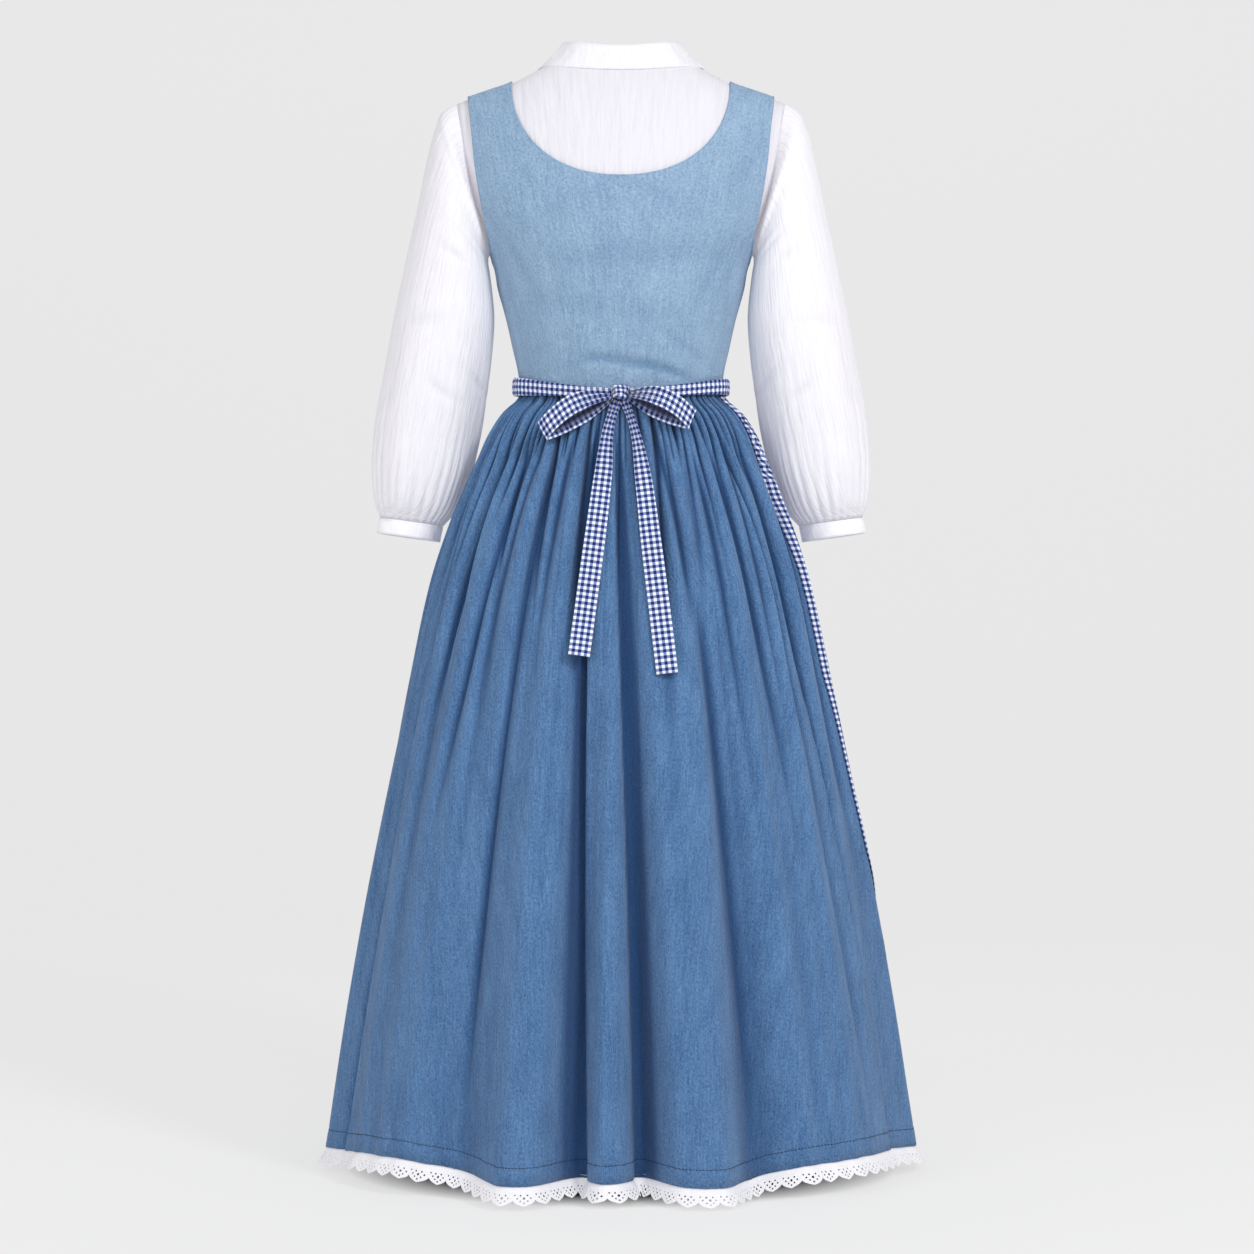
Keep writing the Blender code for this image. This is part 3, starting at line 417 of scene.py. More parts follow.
def on_torso(x, z, ease=0.0, lift=0.0):
    """(turn, rise) of the point of the form that is seen at x, z from straight behind or in front."""
    x, z = np.broadcast_arrays(np.asarray(x, float), np.asarray(z, float))
    armpit = ARMPIT_Z + lift
    top = shoulder_z(x, ease)
    rise = np.where(z > armpit, SHOULDER_SPAN * (z - armpit) / (top - armpit), z - armpit)
    up = np.clip(rise / SHOULDER_SPAN, 0.0, 1.0)
    half_width = through(BODY, "half_width", z - lift * (1 - up)) - ease
    return np.degrees(np.arcsin(np.clip(np.abs(x) / half_width, 0.0, 1.0))), rise


def coons(bottom, top, centre, side, across, up):
    """A patch in (turn, rise) between four edges, each a grid of points along it."""
    u, v = across[None, :, None], up[:, None, None]
    return (
        (1 - v) * bottom[None]
        + v * top[None]
        + (1 - u) * centre[:, None]
        + u * side[:, None]
        - (1 - u) * (1 - v) * bottom[0]
        - u * (1 - v) * bottom[-1]
        - (1 - u) * v * top[0]
        - u * v * top[-1]
    )


def blouse_panel(neck):
    """Half of the blouse's back or front, from its centre edge to its side, as a grid of (turn, rise). neck
    gives x and z from the centre to the neck point, and the rest of the top edge is the shoulder seam."""
    across = np.linspace(0, 1, BLOUSE_COLUMNS + 1)
    lower = np.linspace(0, 0.5, BLOUSE_LOWER_ROWS, endpoint=False)
    up = np.concatenate([lower, 0.5 + 0.5 * np.sin(np.linspace(0, np.pi / 2, BLOUSE_UPPER_ROWS + 1))])
    armpit = ARMPIT_Z + BLOUSE_RAISE
    bottom = np.stack([90 * across, BLOUSE_HEM_Z - armpit + 0 * across], axis=-1)
    shoulder_x = np.linspace(neck[-1, 0], BLOUSE_ARMHOLE["x"][-1], BLOUSE_COLUMNS + 2 - len(neck))[1:]
    top_x = np.concatenate([neck[:, 0], shoulder_x])
    top_z = np.concatenate([neck[:, 1], shoulder_z(shoulder_x, BLOUSE_EASE)])
    top = np.stack(on_torso(top_x, top_z, *BLOUSE_FIT), axis=-1)
    top[len(neck) - 1 :, 1] = SHOULDER_SPAN
    below = BLOUSE_HEM_Z + (armpit - BLOUSE_HEM_Z) * 2 * up
    side_z = np.where(up < 0.5, below, armpit + (top_z[-1] - armpit) * (2 * up - 1))
    side = np.stack(on_torso(through(BLOUSE_ARMHOLE, "x", side_z), side_z, *BLOUSE_FIT), axis=-1)
    side[up <= 0.5, 0] = 90.0
    side[-1] = top[-1]
    centre = np.stack([0 * up, bottom[0, 1] + (top[0, 1] - bottom[0, 1]) * up], axis=-1)
    return coons(bottom, top, centre, side, across, up)


def panel_points(grid, side, ease, lift=0.0):
    """The panel's points, held off the plane of the seams by half a seam's gap."""
    points = torso(grid[..., 0], grid[..., 1], side, ease, lift)
    points[..., 1] = side * np.maximum(np.abs(points[..., 1]), HALF_SEAM)
    return points


def waist_z(angle):
    """Height of the waist seam at an angle from the centre back, which dips behind."""
    return WAIST_Z - WAIST_DIP * np.maximum(np.cos(np.radians(angle)), 0.0) ** 2


def neckline(depth, power):
    """x and z along half of a bodice neckline, from its lowest point to the shoulder seam."""
    t = np.linspace(0, np.pi / 2, 61)
    return NECK_HALF_WIDTH * np.sin(t) ** (2 / power), NECK_TOP_Z - depth * np.cos(t) ** (2 / power)


def along_edge(x, z, shares):
    """(turn, rise) at shares of the length of an edge that ends at the shoulder seam."""
    turn, rise = on_torso(x, z)
    rise[-1] = SHOULDER_SPAN
    steps = np.linalg.norm(np.diff(torso(turn, rise, BACK), axis=0), axis=1)
    lengths = np.concatenate([[0.0], np.cumsum(steps)])
    return np.stack([np.interp(shares * lengths[-1], lengths, values) for values in (turn, rise)], axis=-1)


def strap_panel(bottom_z, neck):
    """Half of a bodice's back or front as a grid of (turn, rise). Its first column runs up the centre and on
    along the neckline, its last up the side and the armhole, and its top row is the shoulder seam."""
    lower = np.linspace(0, 1, BODICE_LOWER_ROWS, endpoint=False)
    upper = 1 - np.linspace(1, 0, BODICE_UPPER_ROWS + 1) ** 1.5
    up = np.concatenate([lower / 2, 0.5 + upper / 2])
    across = np.linspace(0, 1, BODICE_COLUMNS + 1)
    turns = 90 * across
    bottom = np.stack([turns, bottom_z(turns) - ARMPIT_Z], axis=-1)
    neckline_edge = along_edge(*neck, upper)
    armhole_z = np.linspace(ARMPIT_Z, BODICE_ARMHOLE["z"][-1], 61)
    armhole = along_edge(through(BODICE_ARMHOLE, "x", armhole_z), armhole_z, upper)
    armhole[0] = 90.0, 0.0
    centre_rise = bottom[0, 1] + (neckline_edge[0, 1] - bottom[0, 1]) * lower
    side_rise = bottom[-1, 1] * (1 - lower)
    centre = np.concatenate([np.stack([0 * lower, centre_rise], axis=-1), neckline_edge])
    side = np.concatenate([np.stack([90 + 0 * lower, side_rise], axis=-1), armhole])
    top_turn, top_rise = on_torso(NECK_HALF_WIDTH + (BODICE_ARMHOLE["x"][-1] - NECK_HALF_WIDTH) * across, 0.0)
    top = np.stack([top_turn, np.full_like(top_rise, SHOULDER_SPAN)], axis=-1)
    top[0], top[-1] = centre[-1], side[-1]
    return coons(bottom, top, centre, side, across, up)


def neck_edge(angle):
    """x and z of the blouse's neck edge at an angle from the centre back."""
    s, c = np.sin(np.radians(angle)), np.cos(np.radians(angle))
    x = COLLAR_HALF_WIDTH * np.abs(s) ** np.where(c > 0, 1.0, 0.85)
    middle = np.where(c > 0, COLLAR_BACK_Z, COLLAR_FRONT_Z)
    fall = np.where(c > 0, np.abs(c) ** 2, np.abs(c))
    return x * np.sign(s), COLLAR_SIDE_Z + (middle - COLLAR_SIDE_Z) * fall


def sleeve_ring(row, angles, inset):
    """A ring of the sleeve from its table row: angle 0 is the outer edge and 180 the one by the body."""
    outer = np.array([row["outer_x"], 0.0, row["outer_z"]])
    inner = np.array([row["inner_x"], 0.0, row["inner_z"]])
    middle, reach = (outer + inner) / 2, (outer - inner) / 2
    length = np.linalg.norm(reach)
    points = middle + np.cos(np.radians(angles))[:, None] * reach * ((length - inset) / length)
    points[:, 1] = row["middle_y"] + np.sin(np.radians(angles)) * (row["half_depth"] - inset)
    return points


def armhole_ring(angles, inset):
    """The ring where the sleeve meets the blouse: over the shoulder at angle 0, under the arm at 180."""
    low, tip_x = BLOUSE_ARMHOLE["z"][0], BLOUSE_ARMHOLE["x"][-1]
    high = shoulder_z(tip_x, BLOUSE_EASE)
    z = low + (high - low) * (1 + np.cos(np.radians(angles))) / 2
    x = np.where(angles == 0, tip_x, through(BLOUSE_ARMHOLE, "x", z))
    turn, rise = on_torso(x, z, *BLOUSE_FIT)
    turn = np.where(np.abs(angles - 180) < 1, 90.0, turn)
    rise = np.where(angles == 0, SHOULDER_SPAN, rise)
    ease = BLOUSE_EASE + inset
    back, front = (torso(turn, rise, side, ease, BLOUSE_RAISE) for side in (BACK, FRONT))
    points = np.where((angles > 180)[:, None], back, front)
    points[:, 0] += ARMHOLE_GAP
    return points


def gathers_at(angle):
    """How many gathers lie between the wearer's left side seam and this angle from the centre back."""
    angle = (angle + 90) % 360 - 90
    back = np.clip(angle + 90, 0, 180) / 180 * BACK_GATHERS
    front = np.clip(angle - 90, 0, 180) / 180 * FRONT_GATHERS
    return back + front


def gather_wave(count, down):
    """Rise of the gathers as a plain wave, of uneven depth from one to the next."""
    which = np.floor(count + 1e-6)
    uneven = 1 + 0.28 * np.cos(2.4 * which) + 0.18 * np.sin(5.1 * which + 1)
    return through(GATHER_DEPTH, "gather", down) * -np.cos(2 * np.pi * count) * uneven


def fold_rise(angle, down):
    """How far gathers and folds lift the cloth off the skirt's smooth section."""
    count = gathers_at(angle)
    rise = gather_wave(count, down)
    turned = 2 * np.pi * count / ALL_GATHERS
    middle = np.cos(turned * MIDDLE_FOLDS + 0.9 * np.sin(turned * 3))
    uneven = 0.75 + 0.35 * np.sin(1.3 * np.floor(count + 1e-6))
    rise = rise + through(GATHER_DEPTH, "middle", down) * middle * uneven
    for fold in FOLDS:
        grown = ease_in((down - fold["begins"]) / (1.15 - fold["begins"])) ** 0.8
        centre = fold["waist"] + (fold["hem"] - fold["waist"]) * down
        for turn in (-360, 0, 360):
            off = np.clip(np.abs(angle + turn - centre) / (1.5 * fold["half_width"]), 0, 1)
            rise = rise + fold["rise"] * grown * (1 + np.cos(np.pi * off)) / 2
    return rise


def skirt(angle, down, out=0.0):
    """Points of the skirt at angles from the centre back and shares of its length, moved out by out."""
    angle, down = np.broadcast_arrays(np.asarray(angle, float), np.asarray(down, float))
    level = WAIST_Z + (HEM_Z - WAIST_Z) * down
    s, c = np.sin(np.radians(angle)), np.cos(np.radians(angle))
    half_width = through(SKIRT, "half_width", level)
    depth = np.where(c > 0, through(SKIRT, "back", level), through(SKIRT, "front", level))
    facing = np.stack([s / half_width, -c / depth], axis=-1)
    facing /= np.linalg.norm(facing, axis=-1, keepdims=True)
    rise = fold_rise(angle, down) + out
    top = waist_z(angle)
    x = half_width * s + rise * facing[..., 0]
    y = -depth * c + rise * facing[..., 1]
    return np.stack([x, y, top + (HEM_Z - top) * down], axis=-1)


def skirt_back_y(x, z):
    """How far back the skirt's folds reach near x at that height."""
    angles = np.linspace(-40, 40, 321)
    share = (z - waist_z(0.0)) / (HEM_Z - waist_z(0.0))
    points = skirt(angles, np.full_like(angles, max(share, 0.0)))
    near = np.abs(points[:, 0] - x) < 0.017
    return points[near, 1].min()


# Finer folds, only in the visible cloth

# Creases down the skirt: angles from the centre back at the start, middle and end, the shares of the length
# where each begins and ends, the share over which it fades, its depth, its width in degrees, and how
# one-sided it is
CREASES = table(
    "top middle bottom begins ends fades depth width step",
    (-76.0, -78.0, -79.0, 0.03, 0.70, 0.60, 0.0060, 2.0, 0.3),
    (-60.0, -67.0, -70.5, 0.06, 1.06, 0.05, 0.0150, 1.1, 1.0),
    (-50.0, -57.0, -60.0, 0.02, 0.55, 0.70, 0.0120, 1.6, 0.4),
    (-40.0, -46.0, -52.0, 0.02, 0.72, 0.60, 0.0100, 1.8, 0.3),
    (-33.5, -38.0, -42.0, 0.02, 0.45, 0.80, 0.0070, 1.6, 0.2),
    (-27.0, -31.0, -31.5, 0.02, 1.06, 0.35, 0.0110, 1.7, 0.4),
    (-20.0, -23.0, -24.0, 0.02, 0.50, 0.80, 0.0080, 1.5, 0.3),
    (-15.5, -17.0, -16.5, 0.25, 0.95, 0.70, 0.0060, 1.8, 0.2),
    (-10.4, -8.8, -6.1, 0.03, 1.06, 0.05, 0.0190, 1.0, 1.0),
    (-3.0, 1.0, 2.9, 0.00, 1.06, 0.05, 0.0170, 1.0, 1.0),
    (8.0, 10.0, 11.0, 0.02, 0.40, 0.80, 0.0060, 1.4, 0.2),
    (14.0, 20.0, 22.0, 0.02, 0.45, 0.80, 0.0080, 1.6, 0.2),
    (22.0, 25.0, 27.0, 0.20, 1.06, 0.40, 0.0070, 1.8, 0.3),
    (30.0, 33.0, 34.0, 0.03, 0.80, 0.70, 0.0100, 1.5, 0.3),
    (38.0, 43.0, 45.0, 0.02, 0.75, 0.70, 0.0100, 1.5, 0.3),
    (47.0, 52.0, 51.0, 0.02, 0.50, 0.55, 0.0200, 1.9, 0.6),
    (52.0, 55.0, 56.0, 0.30, 1.06, 0.40, 0.0060, 2.0, 0.3),
    (58.0, 61.0, 66.0, 0.06, 1.06, 0.05, 0.0125, 1.1, 1.0),
    (68.0, 72.0, 74.0, 0.03, 0.80, 0.60, 0.0060, 2.0, 0.2),
    (86.0, 86.0, 86.0, 0.08, 0.64, 0.30, 0.0050, 15.0, 0.0),
)
FRONT_CREASES = 14

# How far the hem hangs above its level, by angle from the centre back
HEM_LIFTS = table(
    "angle lift",
    (-120, 0.000),
    (-90, -0.004),
    (-70, 0.002),
    (-58, 0.011),
    (-45, 0.014),
    (-32, 0.004),
    (-22, -0.003),
    (0, -0.001),
    (12, -0.005),
    (26, -0.007),
    (36, 0.009),
    (50, 0.012),
    (62, 0.009),
    (75, 0.003),
    (90, -0.003),
    (120, 0.000),
)

# Depth of the sewn gathers' troughs down the skirt, and how far down the shortest, the longest and the small
# gathers between them reach
GATHER_TROUGHS = table(
    "down depth",
    (0.000, 0.0050),
    (0.020, 0.0086),
    (0.060, 0.0104),
    (0.140, 0.0088),
    (0.300, 0.0062),
    (0.600, 0.0045),
    (1.000, 0.0030),
)
SHORTEST_GATHER = 0.07
LONGEST_GATHER = 0.42
SMALL_GATHER = 0.055

# Rise of the slight uneven streaks between the folds
STREAK_DEPTH = 0.0010


def creases(angle, down):
    """Rise of narrow folds. At a step of 1 a fold drops at once on its outer side and comes back slowly."""
    rise = 0.0
    for row in CREASES:
        t = np.clip((down - row["begins"]) / (row["ends"] - row["begins"]), 0.0, 1.0)
        line = row["top"] * (1 - t) * (1 - 2 * t) + row["middle"] * 4 * t * (1 - t)
        line = line + row["bottom"] * t * (2 * t - 1)
        off = (angle - line) * np.sign(row["middle"]) / row["width"]
        trough = np.exp(-(off**2)) - 0.25 * np.exp(-((np.abs(off) - 2.0) ** 2))
        step = np.where(off > 0, np.exp(-off / 3.0), np.exp(-((off * 5) ** 2)))
        grown = ease_in(t / 0.18) * ease_in((1 - t) / row["fades"])
        rise = rise - row["depth"] * grown * (trough * (1 - row["step"]) + step * row["step"])
    return rise


def front_creases(angle, down):
    """Soft creases on the front, where the apron lies: one for each broad fold, uneven in place and depth."""
    rise = 0.0
    for i in range(FRONT_CREASES):
        swing = np.sin(i * 2.3)
        line = 90 + 180 * (i + 0.5 + 0.3 * swing) / FRONT_CREASES + 3.0 * swing * down
        off = (angle - line) / (1.9 + 0.5 * np.sin(i * 1.7))
        grown = ease_in((down - 0.05 * (1 + swing)) / 0.2)
        grown = grown * (0.6 + 0.4 * ease_in((0.75 + 0.25 * swing - down) / 0.4))
        rise = rise - (0.0075 + 0.0025 * np.sin(i * 3.1)) * grown * np.exp(-(off**2))
    return rise


def gather_troughs(angle, down):
    """Rise of the sewn gathers, each a rounded trough that wanders, widens and ends at its own place."""
    rise = 0.0
    depth = through(GATHER_TROUGHS, "depth", down)
    for k in range(ALL_GATHERS + 1):
        behind = k <= BACK_GATHERS
        share = k / BACK_GATHERS if behind else (k - BACK_GATHERS) / FRONT_GATHERS
        start = (-90 if behind else 90) + 180 * share
        pitch = 180 / (BACK_GATHERS if behind else FRONT_GATHERS)
        turned = k % ALL_GATHERS
        jitter = np.sin(turned * 2.9 + 0.4)
        wander = np.sin(turned * 1.9 + 1.3)
        more = np.sin(turned * 4.3 + 2.2)
        length = SHORTEST_GATHER + (LONGEST_GATHER - SHORTEST_GATHER) * (0.5 + 0.5 * more) ** 2.2
        line = start + pitch * (0.16 * jitter + 0.55 * wander * ease_in(down / 0.35))
        width = pitch * (0.15 + 0.05 * jitter + 0.20 * np.minimum(down / 0.30, 1.0))
        off = np.abs(angle - line) / width
        ends = ease_in((length * 1.5 - down) / length)
        rise = rise - depth * (1.15 + 0.45 * jitter) * ends * np.exp(-(off**1.15))
        small = np.abs(angle - line - pitch * (0.5 + 0.12 * more)) / (0.11 * pitch)
        ends = ease_in((SMALL_GATHER * (1.6 + more) - down) / SMALL_GATHER)
        rise = rise - depth * (0.40 + 0.25 * wander) * ends * np.exp(-small)
    return rise


def fine_skirt(angle, down, out=0.0):
    """The skirt with its gathers as rounded troughs, its narrow creases, and slight uneven streaks."""
    angle, down = np.broadcast_arrays(np.asarray(angle, float), np.asarray(down, float))
    count = gathers_at(angle)
    lift = through(GATHER_DEPTH, "gather", down) * 0.4
    streak = np.sin(count * 4.1 + 1.5 * np.sin(3 * down + count))
    streak = streak + 0.8 * np.sin(count * 2.3 + 4.0 * down + 1.0)
    streak = streak * STREAK_DEPTH * ease_in(down / 0.15)
    fine = lift - gather_wave(count, down) + gather_troughs(angle, down) + streak
    fine = fine + creases(angle, down) + front_creases(angle, down)
    points = skirt(angle, down, out + fine)
    turned = (angle + 180) % 360 - 180
    points[..., 2] += np.interp(turned, HEM_LIFTS["angle"], HEM_LIFTS["lift"]) * ease_in((down - 0.55) / 0.45)
    return points


# Materials

# A painted glow of the thin white cloth's own, standing in for the light that comes through it
PAINTED_GLOW = 0.09


def new_material(name, roughness, sheen=0.0):
    """A plain material, with its node tree and its shader."""
    made = bpy.data.materials.new(name)
    made.use_nodes = True
    shader = made.node_tree.nodes["Principled BSDF"]
    shader.inputs["Roughness"].default_value = roughness
    shader.inputs["Specular IOR Level"].default_value = 0.25
    if sheen:
        shader.inputs["Sheen Weight"].default_value = sheen
        shader.inputs["Sheen Roughness"].default_value = 0.5
    return made, made.node_tree, shader


def add_node(tree, kind, values=(), **settings):
    """A node with its settings and, for each (input, value or socket), its inputs."""
    made = tree.nodes.new(kind)
    for key, value in settings.items():
        setattr(made, key, value)
    for key, value in values:
        if isinstance(value, bpy.types.NodeSocket):
            tree.links.new(value, made.inputs[key])
        else:
            made.inputs[key].default_value = value
    return made


def math_node(tree, operation, *values):
    return add_node(tree, "ShaderNodeMath", list(enumerate(values)), operation=operation).outputs[0]


def plus(tree, *values):
    return math_node(tree, "ADD", *values)


def times(tree, *values):
    return math_node(tree, "MULTIPLY", *values)


def cloth_noise(tree, across, along, detail=2.0, roughness=0.55, distortion=0.0):
    """Noise over the cloth's own metres, with features this long across and along it."""
    place = add_node(tree, "ShaderNodeUVMap", uv_map="cloth").outputs[0]
    scale = (1 / across, 1 / along, 1.0)
    scaled = add_node(tree, "ShaderNodeVectorMath", [(0, place), (1, scale)], operation="MULTIPLY").outputs[0]
    values = [("Vector", scaled), ("Scale", 1.0), ("Detail", detail), ("Roughness", roughness)]
    return add_node(tree, "ShaderNodeTexNoise", [*values, ("Distortion", distortion)]).outputs["Fac"]


def ramp(tree, value, low, high, to_low=0.0, to_high=1.0):
    limits = [("From Min", low), ("From Max", high), ("To Min", to_low), ("To Max", to_high)]
    return add_node(tree, "ShaderNodeMapRange", [("Value", value), *limits], clamp=True).outputs[0]


def mix(tree, share, first, second, blend="MIX"):
    """The first colour where share is 0 and the second where it is 1."""
    colours = [(key, (*c, 1) if isinstance(c, tuple) else c) for key, c in ((6, first), (7, second))]
    made = add_node(tree, "ShaderNodeMix", [("Factor", share), *colours], data_type="RGBA", blend_type=blend)
    return made.outputs[2]


def tinted(colour, shares):
    """A colour with each of its parts taken down to a share."""
    return tuple(value * share for value, share in zip(colour, shares))


def paint(tree, shader, colour, share, shade_colour):
    """Gives the shader a colour that turns by share into a darker one deep in the cloth's folds, as painted
    shade.
    """
    fold_shade = add_node(tree, "ShaderNodeAttribute", attribute_name="fold_shade").outputs["Fac"]
    tree.links.new(mix(tree, times(tree, fold_shade, share), colour, shade_colour), shader.inputs["Base Color"])


def bump(tree, shader, height, distance, strength):
    values = [("Height", height), ("Distance", distance), ("Strength", strength)]
    tree.links.new(add_node(tree, "ShaderNodeBump", values).outputs[0], shader.inputs["Normal"])


def chambray(name, light, dark, contrast=0.26):
    """Blue warp over white weft: fine flecks, a crinkled surface, slubs, and slow changes of tone. Painted
    shade darkens it deep in its folds.
    """
    made, tree, shader = new_material(name, 0.86, 0.15)
    flecks = cloth_noise(tree, 0.0021, 0.0032, 2.0, 0.7)
    crinkle = cloth_noise(tree, 0.0055, 0.0130, 3.0, 0.6, 2.2)
    slubs = cloth_noise(tree, 0.0024, 0.045)
    tone = cloth_noise(tree, 0.030, 0.10)
    part = 0.0
    for value, weight in ((flecks, 0.42), (crinkle, 0.22), (slubs, 0.20), (tone, 0.16)):
        part = plus(tree, part, times(tree, ramp(tree, value, 0.3, 0.7), weight))
    colour = mix(tree, ramp(tree, part, 0.5 - contrast, 0.5 + contrast), dark, light)
    # Painted shade: darker and deeper blue deep in the folds, where the mesh's fold shade is high
    paint(tree, shader, colour, 0.85, tinted(dark, (0.22, 0.44, 0.60)))
    bump(tree, shader, plus(tree, times(tree, flecks, 0.25), times(tree, crinkle, 0.75)), 0.0038, 0.8)
    return made


def cotton(name, colour, crinkle, across=0.0028, along=0.05):
    """White cotton with crinkles down the cloth, darker in their low parts as painted shade, and painted
    shade deep in its folds. It is thin, and a small painted glow of its own stands in for the light that
    comes through it.
    """
    made, tree, shader = new_material(name, 0.8, 0.1)
    # A small even glow: painted light that stands in for the light coming through the thin cloth
    shader.inputs["Emission Color"].default_value = (0.93, 0.93, 1.0, 1)
    shader.inputs["Emission Strength"].default_value = PAINTED_GLOW
    ridges = cloth_noise(tree, across, along, 3.0, 0.6)
    wide = cloth_noise(tree, across * 3.2, along * 2.0, 2.0, 0.5)
    weave = cloth_noise(tree, 0.0007, 0.0007, 1.0)
    # Painted shade: the crinkles' low parts are drawn darker
    darker = tinted(colour, (0.925, 0.925, 0.950))
    crinkle_shaded = mix(tree, ramp(tree, ridges, 0.35, 0.65), darker, colour)
    # Painted shade deep in the folds, where the mesh's fold shade is high
    paint(tree, shader, crinkle_shaded, 0.8, tinted(colour, (0.72, 0.735, 0.78)))
    height = plus(tree, times(tree, ridges, crinkle), times(tree, weave, 0.1))
    bump(tree, shader, plus(tree, height, times(tree, wide, crinkle * 1.6)), 0.0017, 0.8)
    return made


def gingham(name, pitch):
    """Even checks: navy where the dyed threads cross, half tone where they meet white ones. Painted shade
    darkens it deep in its folds.
    """
    made, tree, shader = new_material(name, 0.82, 0.1)
    place = add_node(tree, "ShaderNodeUVMap", uv_map="cloth").outputs[0]
    parts = add_node(tree, "ShaderNodeSeparateXYZ", [(0, place)])
    wobble = times(tree, math_node(tree, "SUBTRACT", cloth_noise(tree, 0.002, 0.002), 0.5), 0.10)
    dyed = []
    for axis in (0, 1):
        turns = plus(tree, times(tree, parts.outputs[axis], 1 / pitch), wobble)
        wave = math_node(tree, "ABSOLUTE", math_node(tree, "SUBTRACT", math_node(tree, "FRACT", turns), 0.5))
        dyed.append(ramp(tree, wave, 0.228, 0.262))
    half = mix(tree, math_node(tree, "MAXIMUM", *dyed), (0.92, 0.92, 0.97), (0.20, 0.27, 0.54))
    full = mix(tree, times(tree, *dyed), half, (0.006, 0.013, 0.105))
    weave = cloth_noise(tree, 0.0006, 0.0006, 1.0)
    threads = ramp(tree, weave, 0.3, 0.7, 0.85, 1.0)
    tone = add_node(tree, "ShaderNodeCombineColor", [(axis, threads) for axis in range(3)]).outputs[0]
    # Painted shade: near black navy deep in the folds, where the mesh's fold shade is high
    paint(tree, shader, mix(tree, 1.0, full, tone, "MULTIPLY"), 0.9, (0.020, 0.026, 0.075))
    bump(tree, shader, weave, 0.0004, 0.4)
    return made


def plain(name, colour, roughness):
    """One colour with small darker specks."""
    made, tree, shader = new_material(name, roughness)
    speck = ramp(tree, cloth_noise(tree, 0.001, 0.001), 0.3, 0.7)
    tree.links.new(mix(tree, speck, tinted(colour, (0.85, 0.85, 0.85)), colour), shader.inputs["Base Color"])
    return made


SKIRT_BLUE = chambray("skirt_cloth", (0.122, 0.250, 0.470), (0.040, 0.112, 0.260))
BODICE_BLUE = chambray("bodice_cloth", (0.330, 0.465, 0.625), (0.180, 0.300, 0.465))
WHITE = cotton("sleeve_cloth", (0.800, 0.785, 0.820), 1.0)
# A darker copy of the blouse's white: painted shade on the blouse body, which faces the lamps more
SHADED_BODY_WHITE = cotton("shaded_blouse_cloth", (0.690, 0.675, 0.715), 1.0)
WHITE_BAND = cotton("band_cloth", (0.760, 0.750, 0.780), 0.35, 0.004, 0.02)
# A brighter copy of the blouse's white: painted light on the cuffs, which lie in shade
LIT_CUFF_WHITE = cotton("lit_cuff_cloth", (0.880, 0.865, 0.895), 0.35, 0.004, 0.02)
CHECKS = gingham("checked_cloth", 0.0077)
LACE_WHITE = cotton("lace_cloth", (0.850, 0.840, 0.865), 0.5, 0.0012, 0.0012)
THREAD = plain("hem_thread", (0.022, 0.016, 0.025), 0.7)
WHITE_THREAD = plain("white_thread", (0.80, 0.79, 0.83), 0.7)
HORN = plain("button_horn", (0.62, 0.55, 0.42), 0.35)


# Meshes


def lengths_along(points, axis):
    """Cumulative length of a grid of points along an axis, from 0."""
    steps = np.linalg.norm(np.diff(points, axis=axis), axis=-1)
    zero_shape = list(steps.shape)
    zero_shape[axis] = 1
    return np.concatenate([np.zeros(zero_shape), np.cumsum(steps, axis=axis)], axis=axis)


def cloth_uv(points, middle=0.5):
    """The cloth's own metres: across each row from its middle, and down each column."""
    u = lengths_along(points, 1)
    u = u - u[:, -1:] * middle
    v = lengths_along(points, 0)
    return np.stack([u, np.broadcast_to(v.mean(axis=1, keepdims=True), u.shape)], axis=-1)


def hollowness(points, reach, depth):
    """How deep each point lies in a fold: 0 at the mean of the points within reach, and 1 at depth behind."""
    out = np.hypot(points[..., 0], points[..., 1] - AXIS[1])
    padded = np.pad(out, ((0, 0), (reach, reach)), mode="edge")
    total = np.cumsum(np.pad(padded, ((0, 0), (1, 0))), axis=1)
    mean = (total[:, 2 * reach + 1:] - total[:, : -2 * reach - 1]) / (2 * reach + 1)
    return np.clip((mean - out) / depth, 0.0, 1.0)


